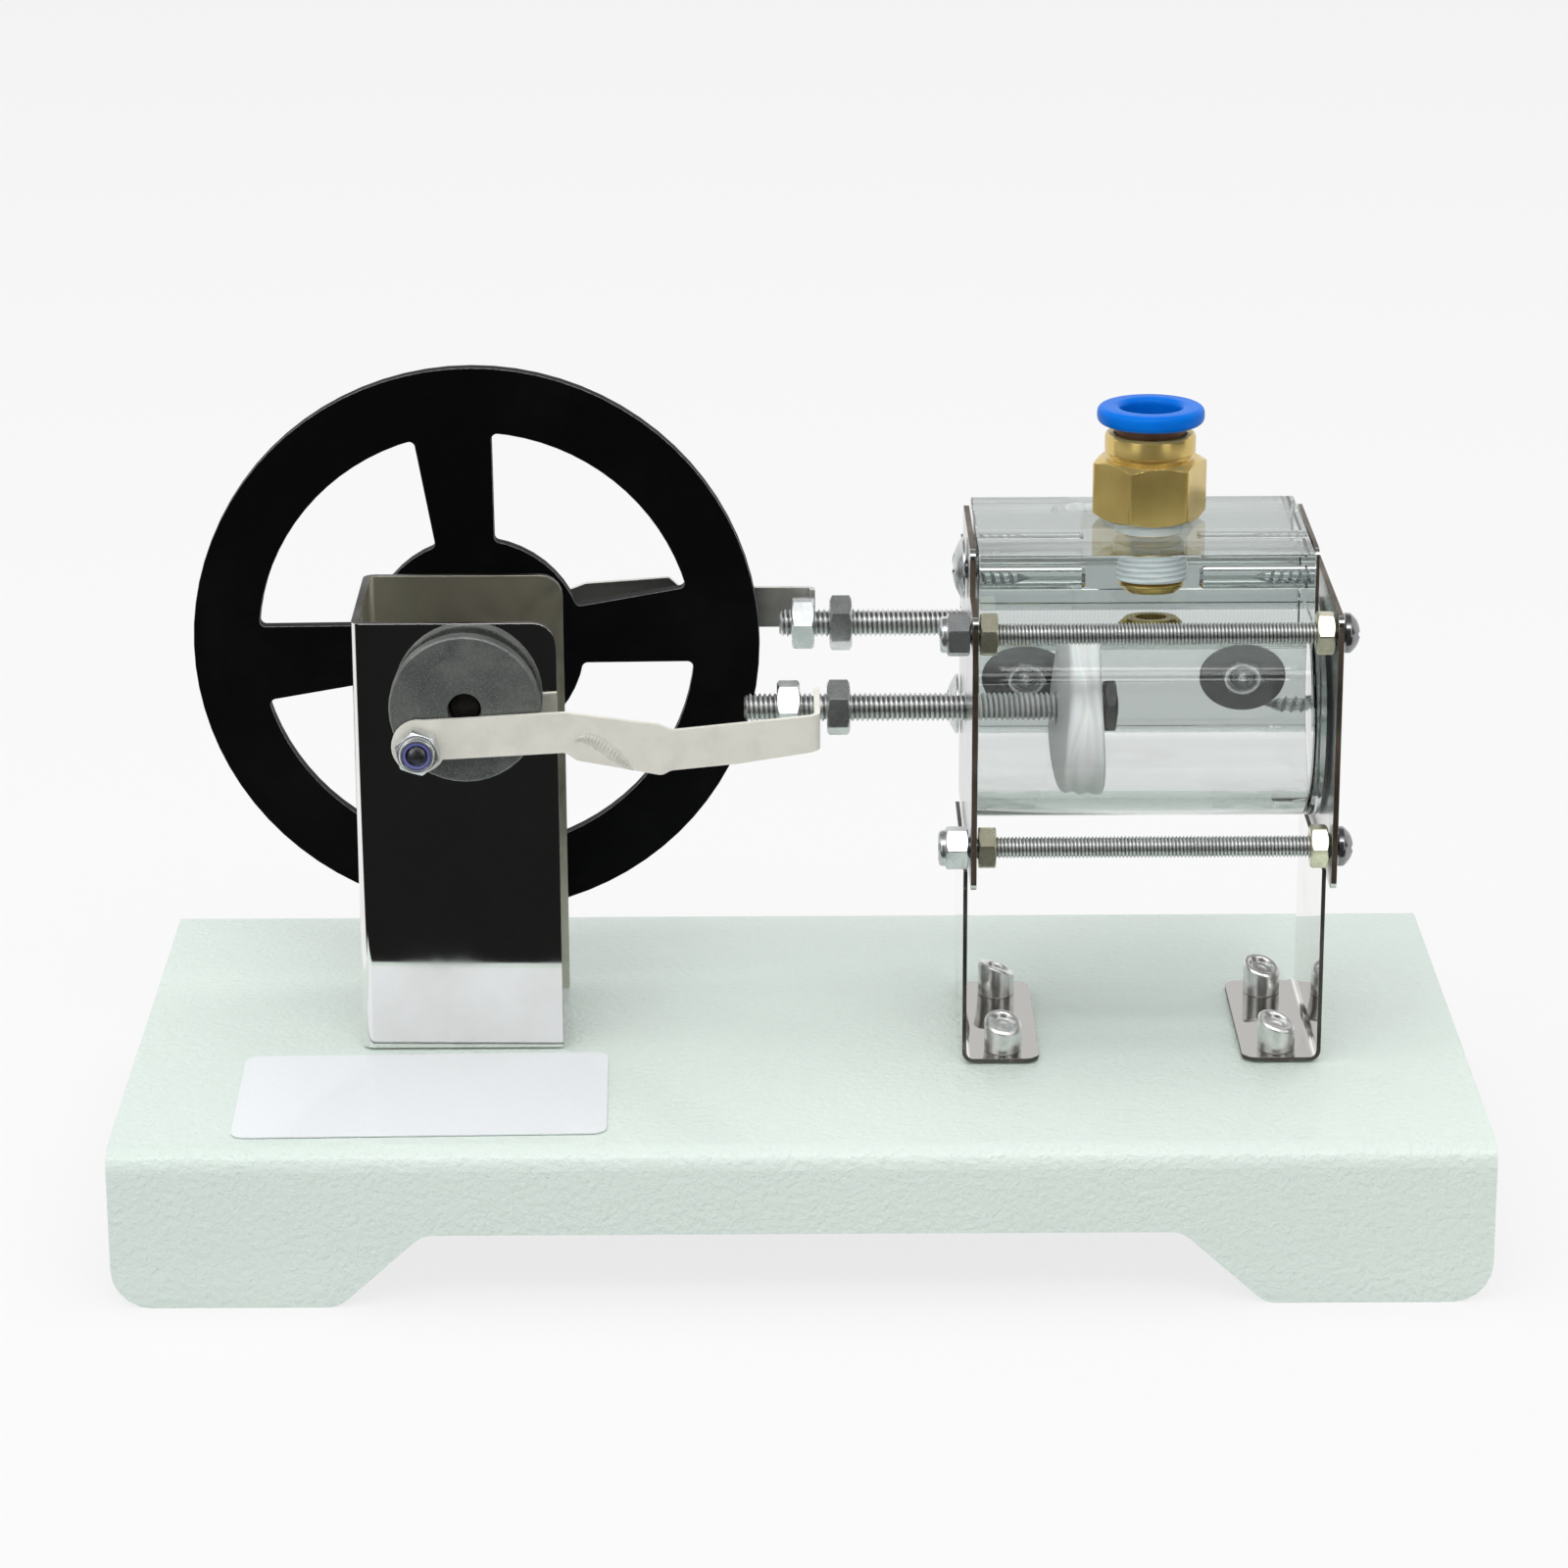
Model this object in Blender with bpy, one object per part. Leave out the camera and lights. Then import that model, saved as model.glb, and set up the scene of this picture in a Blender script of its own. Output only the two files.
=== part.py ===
# Steam engine model: a classroom demonstration engine with a clear cylinder on a folded sheet base
import math

import bmesh
import bpy
import numpy as np
from mathutils import Matrix, Vector

mm = 0.001

# clearances
seat_gap = 0.3 * mm
running_gap = 0.3 * mm
overrun = 2.0 * mm
join_distance = 0.001 * mm

# base: a sheet folded down at the front and the back, with feet left by an arch
base_length = 186.0 * mm
base_depth = 95.0 * mm
base_height = 22.6 * mm
base_sheet = 1.2 * mm
base_bend_radius = 3.0 * mm
foot_length = 30.5 * mm
arch_slope_run = 11.5 * mm
arch_height = 10.4 * mm
arch_corner_radius = 4.0 * mm
foot_corner_radius = 5.5 * mm

# blank label on the base
label_length = 50.6 * mm
label_depth = 30.0 * mm
label_thickness = 0.2 * mm
label_lift = 0.1 * mm
label_corner_radius = 2.0 * mm
label_from_left_end = 41.2 * mm
label_from_front = 20.1 * mm
label_turn = math.radians(1.2)

# centre plane of the engine, a little behind the middle of the base
engine_y = 2.5 * mm

# shaft bracket: a polished sheet folded to a channel that is open to the right
bracket_width = 28.1 * mm
bracket_web_to_shaft = 15.6 * mm
bracket_depth = 25.0 * mm
bracket_height = 62.3 * mm
bracket_sheet = 1.0 * mm
bracket_bend_radius = 1.6 * mm
bracket_corner_radius = 3.2 * mm
bracket_foot_length = 24.0 * mm
bracket_foot_width = 19.0 * mm
bracket_rivet_spacing = 11.0 * mm

# crankshaft
shaft_x = -45.7 * mm
shaft_z = 73.8 * mm
shaft_radius = 2.0 * mm
shaft_recess = 1.4 * mm
bush_radius = 3.1 * mm
bush_flange_radius = 3.9 * mm
bush_flange_thickness = 0.8 * mm
bush_length = 4.0 * mm
rear_spacer_length = 1.6 * mm

# crank disc and its pin
crank_disc_radius = 10.4 * mm
crank_disc_thickness = 2.5 * mm
crank_disc_chamfer = 0.25 * mm
crank_disc_front_y = -14.0 * mm
crank_radius = 8.0 * mm
crank_angle = math.radians(218.0)

# M3 hardware
m3_radius = 1.5 * mm
m3_nut_flats = 5.5 * mm
m3_nut_height = 2.4 * mm
m3_lock_nut_height = 4.0 * mm
m3_insert_radius = 2.2 * mm
m3_insert_height = 1.0 * mm
m3_head_radius = 2.75 * mm
m3_head_height = 2.1 * mm
pin_head_height = 0.8 * mm
pin_head_radius = 2.6 * mm
collar_slope_share = 0.6
# outline of a pan head, as shares of its radius and height
pan_head_shares = [(1.0, 0.45), (0.8, 0.85), (0.4, 1.0), (0.0, 1.0)]

# M4 hardware
m4_radius = 2.0 * mm
m4_nut_flats = 7.0 * mm
m4_nut_height = 3.2 * mm
m4_thin_nut_height = 2.2 * mm

# faces of every nut, as a share of half its flats, and the slope of its chamfer
nut_face_share = 0.95
nut_chamfer_angle = math.radians(30)

# flywheel
flywheel_radius = 40.3 * mm
flywheel_rim_inner_radius = 31.0 * mm
flywheel_hub_radius = 15.4 * mm
flywheel_thickness = 2.0 * mm
flywheel_front_y = 17.5 * mm
flywheel_spokes = 4
flywheel_turn = math.radians(5.2)
spoke_width_at_hub = 8.4 * mm
spoke_width_at_rim = 11.0 * mm
window_corner_radius = 0.8 * mm

# connecting rod: two strips lapped and welded, folded back at the end to meet the piston rod
strip_thickness = 0.8 * mm
strip_front_gap = 0.4 * mm
rod_eye_radius = 3.75 * mm
rod_reach = 54.9 * mm
# edges of the rod from its eye to its folded end, as places along and above the crank pin
rod_upper_edge = [(20.1 * mm, 4.8 * mm), (32.8 * mm, 3.0 * mm), (34.7 * mm, 2.2 * mm), (43.6 * mm, 3.1 * mm)]
rod_lower_edge = [(20.0 * mm, -0.9 * mm), (21.6 * mm, -2.0 * mm), (33.2 * mm, -4.2 * mm), (34.5 * mm, -3.5 * mm),
                  (43.6 * mm, -2.6 * mm)]
rod_eye_shoulders = (3.7 * mm, -1.8 * mm)
rod_end_edges = (4.5 * mm, -0.5 * mm)
rod_edge_blend = 1.5 * mm
rod_widest_reach = 6.0 * mm
strip_bend_radius = 1.6 * mm

# valve link: two lapped strips behind the flywheel
link_reach = 52.6 * mm
link_width = 5.2 * mm
link_eye_radius = 3.4 * mm
link_clear_of_nuts = 1.4 * mm
# edges of the link past its eye, as places along and above the valve pin
link_upper_edge = [(17.4 * mm, -0.3 * mm), (19.6 * mm, 0.55 * mm), (31.6 * mm, 1.37 * mm), (33.2 * mm, -0.1 * mm)]
link_lower_edge = [(18.0 * mm, -5.0 * mm), (33.2 * mm, -6.1 * mm)]
link_end_edges = (-6.1 * mm, -0.25 * mm)
link_edge_blend = 0.4 * mm
link_widest_reach = 9.0 * mm
valve_crank_radius = 7.0 * mm
valve_crank_angle = math.radians(128.0)

# cylinder
cylinder_z = 68.8 * mm
tube_radius = 15.3 * mm
tube_bore_radius = 13.0 * mm
tube_length = 46.0 * mm
end_cap_thickness = 1.6 * mm
end_cap_radius = 15.3 * mm
end_cap_spigot = 1.2 * mm

# piston and its rod
piston_length = 7.4 * mm
piston_radius = 12.6 * mm
piston_left_x = 35.2 * mm
piston_groove_depth = 1.1 * mm
piston_groove_width = 1.6 * mm
piston_nut_height = 1.6 * mm
piston_rod_left_x = -7.6 * mm
piston_nut_outer_x = -3.0 * mm
piston_nut_inner_x = 4.0 * mm

# valve rod and spool
valve_y = 22.0 * mm
valve_z = 75.4 * mm
valve_rod_left_x = -2.6 * mm
valve_rod_end_x = 29.6 * mm
valve_nut_outer_x = -0.8 * mm
valve_nut_inner_x = 4.6 * mm
spool_radius = 2.1 * mm
spool_waist_radius = 1.3 * mm
spool_length = 27.0 * mm
spool_land_length = 5.0 * mm
valve_bore_radius = 2.4 * mm

# end plates
left_plate_x = 23.4 * mm
plate_sheet = 0.8 * mm
plate_width = 45.0 * mm
plate_bottom_z = 49.2 * mm
plate_top_z = 88.0 * mm
plate_tab_top_z = 94.5 * mm
plate_tab_front = 11.5 * mm
plate_tab_back = 13.9 * mm
plate_corner_radius = 1.2 * mm

# legs: thin polished sheets folded to a foot, lapped outside the left plate and inside the right
leg_sheet = 0.6 * mm
leg_front_y = -16.8 * mm
leg_back_y = 14.0 * mm
leg_foot_length = 10.8 * mm
leg_bend_radius = 1.6 * mm
leg_foot_corner_radius = 2.0 * mm
rivet_x_in_foot = 5.85 * mm
rivet_front_y = -13.0 * mm
rivet_back_y = 9.4 * mm

# tie rods along the front of the cylinder
tie_rod_y = -16.7 * mm
upper_tie_rod_z = 85.0 * mm
lower_tie_rod_z = 54.5 * mm
tie_rod_recess = 0.5 * mm

# inlet block on top of the cylinder
inlet_block_front_y = -13.0 * mm
inlet_block_back_y = 18.4 * mm
inlet_block_top_z = 94.9 * mm
inlet_way_z = 86.2 * mm
cover_sheet = 0.6 * mm

# valve block behind the cylinder
valve_block_back_y = 25.0 * mm
valve_block_bottom_z = 59.0 * mm
valve_block_top_z = 87.7 * mm
port_seal_radius = 5.6 * mm
port_seal_thickness = 0.5 * mm
port_neck_radius = 2.4 * mm
port_bore_radius = 1.1 * mm
left_port_inset = 9.4 * mm
right_port_inset = 8.3 * mm

# self-tapping screws
screw_radius = 1.5 * mm
screw_length = 9.0 * mm
screw_point_length = 2.6 * mm
screw_head_radius = 4.3 * mm
screw_head_height = 1.7 * mm
flat_head_height = 0.9 * mm
# outline of a domed head from its crown, as shares of its radius and height
screw_head_shares = [(0.0, 0.0), (0.5, 0.12), (0.86, 0.5), (1.0, 0.9)]
screw_hole_length = 15.0 * mm
screw_hole_radius = 1.9 * mm
inlet_screw_z = 89.0 * mm
valve_screw_z = 63.2 * mm

# push-in fitting
fitting_x = 48.9 * mm
fitting_y = 7.0 * mm
fitting_thread_radius = 4.7 * mm
fitting_thread_length = 8.6 * mm
fitting_hex_flats = 14.0 * mm
fitting_hex_height = 8.4 * mm
fitting_hex_turn = math.radians(-23.0)
fitting_chamfer = 0.9 * mm
fitting_face_share = 0.97
fitting_collar_radius = 6.3 * mm
fitting_neck_radius = 5.7 * mm
fitting_neck_height = 0.8 * mm
fitting_collar_height = 2.8 * mm
fitting_bore_radius = 5.0 * mm
fitting_bore_depth = 9.0 * mm
fitting_air_radius = 2.2 * mm
ring_radius = 7.45 * mm
ring_thickness = 2.4 * mm
ring_edge = 0.5 * mm
ring_sleeve_radius = 4.7 * mm
ring_sleeve_length = 4.5 * mm
ring_bore_radius = 4.2 * mm
ring_travel = 1.0 * mm

# rivets
rivet_radius = 1.6 * mm
rivet_body_radius = 2.6 * mm
rivet_body_height = 4.2 * mm
rivet_slant_share = 0.36
rivet_slant_turns = {
    "left_foot_rivet_front": math.radians(-70.0),
    "left_foot_rivet_back": math.radians(20.0),
    "right_foot_rivet_front": math.radians(-35.0),
    "right_foot_rivet_back": math.radians(-50.0),
}
rivet_lower_radius = 3.0 * mm
rivet_lower_height = 0.9 * mm
bracket_rivet_height = 1.6 * mm
rivet_lower_face_share = 0.7
rivet_lower_edge_share = 0.6
rivet_body_face_share = 0.85
rivet_body_edge_share = 0.9

# facets
round_steps = 28
small_steps = 16
disc_steps = 40
large_steps = 80
arc_steps = 5

# places that follow from the sizes above
base_top = base_height
label_centre_x = label_from_left_end - base_length / 2
label_centre_y = label_from_front - base_depth / 2
shaft_front_flange_y = engine_y - bracket_depth / 2
shaft_back_flange_y = engine_y + bracket_depth / 2
bracket_left_x = shaft_x - bracket_web_to_shaft
left_plate_inner_x = left_plate_x + plate_sheet
tube_left_x = left_plate_inner_x + seat_gap
tube_right_x = tube_left_x + tube_length
left_port_x = tube_left_x + left_port_inset
right_port_x = tube_right_x - right_port_inset
right_plate_inner_x = tube_right_x + seat_gap + end_cap_thickness + seat_gap
right_plate_x = right_plate_inner_x + plate_sheet
left_leg_x = left_plate_x - seat_gap - leg_sheet
right_leg_x = right_plate_inner_x - seat_gap
inlet_block_bottom_z = cylinder_z + tube_radius + seat_gap
port_seal_front_y = engine_y + tube_radius + seat_gap
valve_block_front_y = port_seal_front_y + port_seal_thickness + seat_gap
strip_back_y = crank_disc_front_y - strip_front_gap
strip_front_y = strip_back_y - strip_thickness
crank_pin_x = shaft_x + crank_radius * math.cos(crank_angle)
crank_pin_z = shaft_z + crank_radius * math.sin(crank_angle)
valve_pin_x = shaft_x + valve_crank_radius * math.cos(valve_crank_angle)
valve_pin_z = shaft_z + valve_crank_radius * math.sin(valve_crank_angle)
m4_corner_radius = m4_nut_flats / math.sqrt(3)
m3_corner_radius = m3_nut_flats / math.sqrt(3)
link_front_y = valve_y + m4_corner_radius + link_clear_of_nuts
link_back_y = link_front_y + strip_thickness


def clear_scene():
    for item in list(bpy.data.objects):
        bpy.data.objects.remove(item, do_unlink=True)


def finish(name, colour, roughness, metallic, alpha=1.0):
    """A Principled material with one plain colour."""
    made = bpy.data.materials.new(name)
    made.use_nodes = True
    shader = made.node_tree.nodes["Principled BSDF"]
    shader.inputs["Base Color"].default_value = (*colour, 1.0)
    shader.inputs["Roughness"].default_value = roughness
    shader.inputs["Metallic"].default_value = metallic
    shader.inputs["Alpha"].default_value = alpha
    return made


# directions: the axis of a turned or extruded shape, then its two cross directions
directions = {
    "X": (Vector((1, 0, 0)), Vector((0, 1, 0)), Vector((0, 0, 1))),
    "Y": (Vector((0, 1, 0)), Vector((1, 0, 0)), Vector((0, 0, 1))),
    "Z": (Vector((0, 0, 1)), Vector((1, 0, 0)), Vector((0, 1, 0))),
}


def spot(axis, first, second, along):
    """A point from its two cross coordinates and its place along the axis."""
    main, across, up = directions[axis]
    return main * along + across * first + up * second


def close_up(work):
    bmesh.ops.remove_doubles(work, verts=work.verts, dist=join_distance)
    bmesh.ops.recalc_face_normals(work, faces=work.faces)
    return work


def extruded(axis, outline, low, high, holes=()):
    """A flat outline with holes, filled and pulled along the axis."""
    work = bmesh.new()
    edges = []
    for loop in (outline, *holes):
        points = [work.verts.new(spot(axis, a, b, low)) for a, b in loop]
        edges += [work.edges.new((points[i - 1], points[i])) for i in range(len(points))]
    filled = bmesh.ops.triangle_fill(work, use_beauty=True, use_dissolve=False, edges=edges)
    faces = [item for item in filled["geom"] if isinstance(item, bmesh.types.BMFace)]
    pulled = bmesh.ops.extrude_face_region(work, geom=faces, use_keep_orig=True)
    moved = [item for item in pulled["geom"] if isinstance(item, bmesh.types.BMVert)]
    bmesh.ops.translate(work, verts=moved, vec=directions[axis][0] * (high - low))
    return close_up(work)


def turned(axis, centre, profile, steps=round_steps):
    """A profile of (radius, place along the axis) spun round; open profiles end on the axis."""
    work = bmesh.new()
    points = [work.verts.new(spot(axis, centre[0] + radius, centre[1], along)) for radius, along in profile]
    edges = [work.edges.new((points[i], points[i + 1])) for i in range(len(points) - 1)]
    if min(radius for radius, along in profile) > 0:
        edges.append(work.edges.new((points[-1], points[0])))
    bmesh.ops.spin(work, geom=points + edges, cent=spot(axis, *centre, 0), axis=directions[axis][0],
                   dvec=(0, 0, 0), angle=2 * math.pi, steps=steps, use_merge=True, use_duplicate=False)
    return close_up(work)


def joined(*parts):
    """Several closed shapes in one mesh, as a cutter or ahead of a union."""
    whole = bmesh.new()
    for part in parts:
        mesh = bpy.data.meshes.new("shape")
        part.to_mesh(mesh)
        part.free()
        whole.from_mesh(mesh)
        bpy.data.meshes.remove(mesh)
    return whole


def ring(centre, radius, steps=small_steps, turn=0.0):
    angles = [turn + 2 * math.pi * i / steps for i in range(steps)]
    return [(centre[0] + radius * math.cos(a), centre[1] + radius * math.sin(a)) for a in angles]


def arc(centre, radius, start, end, steps=arc_steps):
    angles = [start + (end - start) * i / steps for i in range(steps + 1)]
    return [(centre[0] + radius * math.cos(a), centre[1] + radius * math.sin(a)) for a in angles]


def rounded(corners):
    """An outline whose corners, given as (first, second, radius), are rounded by arcs."""
    outline = []
    count = len(corners)
    for i, (first, second, radius) in enumerate(corners):
        here = Vector((first, second))
        if radius == 0:
            outline.append((first, second))
            continue
        before = (Vector(corners[i - 1][:2]) - here).normalized()
        after = (Vector(corners[(i + 1) % count][:2]) - here).normalized()
        half = before.angle(after) / 2
        middle = here + (before + after).normalized() * (radius / math.sin(half))
        start = here + before * (radius / math.tan(half)) - middle
        end = here + after * (radius / math.tan(half)) - middle
        start_angle = math.atan2(start.y, start.x)
        sweep = (math.atan2(end.y, end.x) - start_angle + math.pi) % (2 * math.pi) - math.pi
        outline += arc(middle, radius, start_angle, start_angle + sweep)
    return outline


def rectangle(first_low, first_high, second_low, second_high, radius=0.0):
    return rounded([(first_low, second_low, radius), (first_high, second_low, radius),
                    (first_high, second_high, radius), (first_low, second_high, radius)])


def box(x_low, x_high, y_low, y_high, z_low, z_high):
    return extruded("Z", rectangle(x_low, x_high, y_low, y_high), z_low, z_high)


def rod(axis, centre, radius, low, high, steps=small_steps):
    return extruded(axis, ring(centre, radius, steps), low, high)


def piece(name, work, look, origin=(0, 0, 0), smooth=True):
    """One named object whose origin is set apart from its mesh, for the joint axes."""
    mesh = bpy.data.meshes.new(name)
    work.transform(Matrix.Translation(-Vector(origin)))
    work.to_mesh(mesh)
    work.free()
    if smooth:
        mesh.shade_smooth()
        mesh.set_sharp_from_angle(angle=math.radians(32))
    mesh.materials.append(look)
    made = bpy.data.objects.new(name, mesh)
    made.location = origin
    bpy.context.scene.collection.objects.link(made)
    return made


def shape_with(target, work, operation):
    """A Boolean of the target with a hidden shape, which is left out of the part."""
    tool = piece(target.name + "_" + operation.lower(), work, target.data.materials[0], smooth=False)
    tool.hide_render = True
    tool.display_type = "WIRE"
    step = target.modifiers.new(operation.title(), "BOOLEAN")
    step.operation = operation
    step.object = tool
    step.solver = "EXACT"
    return target


def hexagon_ring(flats, corner_steps=2):
    """Angles and radii round a hexagon, with its corners and points between them."""
    count = 6 * corner_steps
    angles = np.arange(count) * 2 * np.pi / count
    from_flat = (angles + np.pi / 6) % (np.pi / 3) - np.pi / 6
    return angles, flats / 2 / np.cos(from_flat)


def stacked(axis, centre, sections, angles, turn=0.0):
    """Rings of (radii, places along) stacked on an axis; the last ring closes on the first."""
    work = bmesh.new()
    rings = []
    for radii, along in sections:
        radii = np.broadcast_to(radii, angles.shape)
        along = np.broadcast_to(along, angles.shape)
        first = centre[0] + radii * np.cos(angles + turn)
        second = centre[1] + radii * np.sin(angles + turn)
        rings.append([work.verts.new(spot(axis, *p)) for p in zip(first, second, along)])
    for i in range(len(rings)):
        low, high = rings[i - 1], rings[i]
        for j in range(len(angles)):
            work.faces.new((low[j - 1], low[j], high[j], high[j - 1]))
    return close_up(work)


def nut(axis, centre, low, flats, height, bore_radius, turn=0.0):
    """A hexagon nut with both faces chamfered, so that its corners fall away in curves."""
    angles, radii = hexagon_ring(flats)
    face_radius = flats / 2 * nut_face_share
    drop = (radii - face_radius) * math.tan(nut_chamfer_angle)
    sections = [(bore_radius, low), (face_radius, low), (radii, low + drop),
                (radii, low + height - drop), (face_radius, low + height), (bore_radius, low + height)]
    return stacked(axis, centre, sections, angles, turn)


def lock_nut(axis, centre, hexagon_end, collar_end, turn=0.0):
    """A nut with a round collar, from its hexagon's face to the end of its collar."""
    angles, radii = hexagon_ring(m3_nut_flats)
    way = 1 if collar_end > hexagon_end else -1
    face_radius = m3_nut_flats / 2 * nut_face_share
    drop = (radii - face_radius) * math.tan(nut_chamfer_angle) * way
    shoulder = hexagon_end + way * (m3_lock_nut_height - 2 * m3_insert_height)
    collar_low = shoulder + way * m3_insert_height * collar_slope_share
    bore_radius = m3_radius + running_gap
    sections = [(bore_radius, hexagon_end), (face_radius, hexagon_end), (radii, hexagon_end + drop),
                (radii, shoulder), (face_radius, collar_low), (m3_insert_radius, collar_end),
                (bore_radius, collar_end)]
    return stacked(axis, centre, sections, angles, turn)


# finishes
def make_finishes():
    return {
        "powder_coat": finish("powder_coat", (0.66, 0.72, 0.68), 0.5, 0.0),
        "label": finish("label", (0.86, 0.88, 0.88), 0.4, 0.0),
        "polished_steel": finish("polished_steel", (0.72, 0.71, 0.69), 0.08, 1.0),
        "cut_sheet": finish("cut_sheet", (0.55, 0.53, 0.48), 0.25, 1.0),
        "crank_steel": finish("crank_steel", (0.32, 0.33, 0.32), 0.5, 1.0),
        "black_steel": finish("black_steel", (0.01, 0.01, 0.012), 0.35, 0.0),
        "satin_nickel": finish("satin_nickel", (0.68, 0.67, 0.6), 0.3, 1.0),
        "zinc": finish("zinc", (0.62, 0.66, 0.68), 0.25, 1.0),
        "yellow_zinc": finish("yellow_zinc", (0.66, 0.6, 0.4), 0.28, 1.0),
        "bronze": finish("bronze", (0.5, 0.36, 0.18), 0.4, 1.0),
        "brass": finish("brass", (0.6, 0.42, 0.13), 0.2, 1.0),
        "aluminium": finish("aluminium", (0.72, 0.73, 0.74), 0.3, 1.0),
        "clear_acrylic": finish("clear_acrylic", (0.9, 0.94, 0.93), 0.05, 0.0, 0.35),
        "white_plastic": finish("white_plastic", (0.85, 0.86, 0.86), 0.4, 0.0),
        "black_rubber": finish("black_rubber", (0.01, 0.01, 0.01), 0.6, 0.0),
        "blue_plastic": finish("blue_plastic", (0.01, 0.2, 0.75), 0.35, 0.0),
    }


def foot_rivet_places():
    """The centres of the rivets that hold the legs' feet to the base."""
    left = left_leg_x + rivet_x_in_foot
    right = right_leg_x - rivet_x_in_foot
    return {
        "left_foot_rivet_front": (left, rivet_front_y),
        "left_foot_rivet_back": (left, rivet_back_y),
        "right_foot_rivet_front": (right, rivet_front_y),
        "right_foot_rivet_back": (right, rivet_back_y),
    }


def bracket_rivet_places():
    """The centres of the rivets that hold the shaft bracket's foot."""
    x = bracket_left_x + bracket_foot_length / 2
    return {
        "bracket_rivet_front": (x, engine_y - bracket_rivet_spacing / 2),
        "bracket_rivet_back": (x, engine_y + bracket_rivet_spacing / 2),
    }


def folded_strip(corner_first, corner_second, length_first, length_second, bend_radius, sheet):
    """An L-shaped line of sheet seen end on, its outer corner rounded and its inner one to match.

    The first leg runs from the corner along the first direction and the second along the
    second; negative lengths run the other way.
    """
    way_first = math.copysign(1, length_first)
    way_second = math.copysign(1, length_second)
    return rounded([
        (corner_first, corner_second, bend_radius),
        (corner_first + length_first, corner_second, 0),
        (corner_first + length_first, corner_second + way_second * sheet, 0),
        (corner_first + way_first * sheet, corner_second + way_second * sheet, bend_radius - sheet),
        (corner_first + way_first * sheet, corner_second + length_second, 0),
        (corner_first, corner_second + length_second, 0),
    ])


def build_base(looks):
    """The folded channel, cut to its front outline, with holes for the rivets."""
    half = base_depth / 2
    inner = base_bend_radius - base_sheet
    section = rounded([
        (-half, 0, 0), (-half, base_top, base_bend_radius), (half, base_top, base_bend_radius), (half, 0, 0),
        (half - base_sheet, 0, 0), (half - base_sheet, base_top - base_sheet, inner),
        (base_sheet - half, base_top - base_sheet, inner), (base_sheet - half, 0, 0),
    ])
    end = base_length / 2
    arch_end = end - foot_length
    base = piece("base_channel", extruded("X", section, -end, end), looks["powder_coat"])
    front = rounded([
        (-end, 0, foot_corner_radius), (-arch_end, 0, arch_corner_radius),
        (arch_slope_run - arch_end, arch_height, arch_corner_radius),
        (arch_end - arch_slope_run, arch_height, arch_corner_radius),
        (arch_end, 0, arch_corner_radius), (end, 0, foot_corner_radius),
        (end, base_top + overrun, 0), (-end, base_top + overrun, 0),
    ])
    shape_with(base, extruded("Y", front, -half - overrun, half + overrun), "INTERSECT")
    places = [*foot_rivet_places().values(), *bracket_rivet_places().values()]
    holes = [rod("Z", place, rivet_radius + running_gap, base_top - base_sheet - overrun,
                 base_top + overrun, 12) for place in places]
    shape_with(base, joined(*holes), "DIFFERENCE")


def build_label(looks):
    half_length = label_length / 2
    half_depth = label_depth / 2
    outline = rectangle(-half_length, half_length, -half_depth, half_depth, label_corner_radius)
    low = base_top + label_lift
    work = extruded("Z", outline, low, low + label_thickness)
    work.transform(Matrix.Translation((label_centre_x, label_centre_y, 0)) @ Matrix.Rotation(label_turn, 4, "Z"))
    piece("blank_label", work, looks["label"])


def build_bracket(looks):
    """A channel folded from sheet, with rounded upper corners, bush holes and a riveted foot."""
    left = bracket_left_x
    right = left + bracket_width
    front, back = shaft_front_flange_y, shaft_back_flange_y
    sheet = bracket_sheet
    inner = bracket_bend_radius - sheet
    low = base_top + seat_gap
    high = base_top + bracket_height
    plan = rounded([
        (right, front, 0), (right, front + sheet, 0), (left + sheet, front + sheet, inner),
        (left + sheet, back - sheet, inner), (right, back - sheet, 0), (right, back, 0),
        (left, back, bracket_bend_radius), (left, front, bracket_bend_radius),
    ])
    bracket = piece("shaft_bracket", extruded("Z", plan, low, high), looks["polished_steel"])
    side = rounded([
        (left - overrun, low - overrun, 0), (right, low - overrun, 0), (right, high, bracket_corner_radius),
        (left - overrun, high, 0),
    ])
    shape_with(bracket, extruded("Y", side, front - overrun, back + overrun), "INTERSECT")
    middle = (front + back) / 2
    foot = extruded("Z", rectangle(left + sheet / 2, left + bracket_foot_length, middle - bracket_foot_width / 2,
                                   middle + bracket_foot_width / 2), low, low + sheet)
    shape_with(bracket, foot, "UNION")
    holes = [rod("Y", (shaft_x, shaft_z), bush_radius + running_gap, front - overrun, back + overrun)]
    for place in bracket_rivet_places().values():
        holes.append(rod("Z", place, rivet_radius + running_gap, low - overrun, low + sheet + overrun, 12))
    shape_with(bracket, joined(*holes), "DIFFERENCE")


def build_bushes(looks):
    """Bearing bushes pressed into the two flanges, flanged on the outside."""
    bore = shaft_radius + running_gap
    centre = (shaft_x, shaft_z)
    front_face = shaft_front_flange_y - seat_gap
    front = [(bore, front_face - bush_flange_thickness), (bush_flange_radius, front_face - bush_flange_thickness),
             (bush_flange_radius, front_face), (bush_radius, front_face),
             (bush_radius, front_face + bush_length), (bore, front_face + bush_length)]
    piece("front_bush", turned("Y", centre, front, small_steps), looks["bronze"])
    back_face = shaft_back_flange_y + seat_gap
    back = [(bore, back_face + rear_spacer_length), (bush_flange_radius, back_face + rear_spacer_length),
            (bush_flange_radius, back_face), (bush_radius, back_face),
            (bush_radius, back_face - bush_length), (bore, back_face - bush_length)]
    piece("rear_bush", turned("Y", centre, back, small_steps), looks["bronze"])


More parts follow.
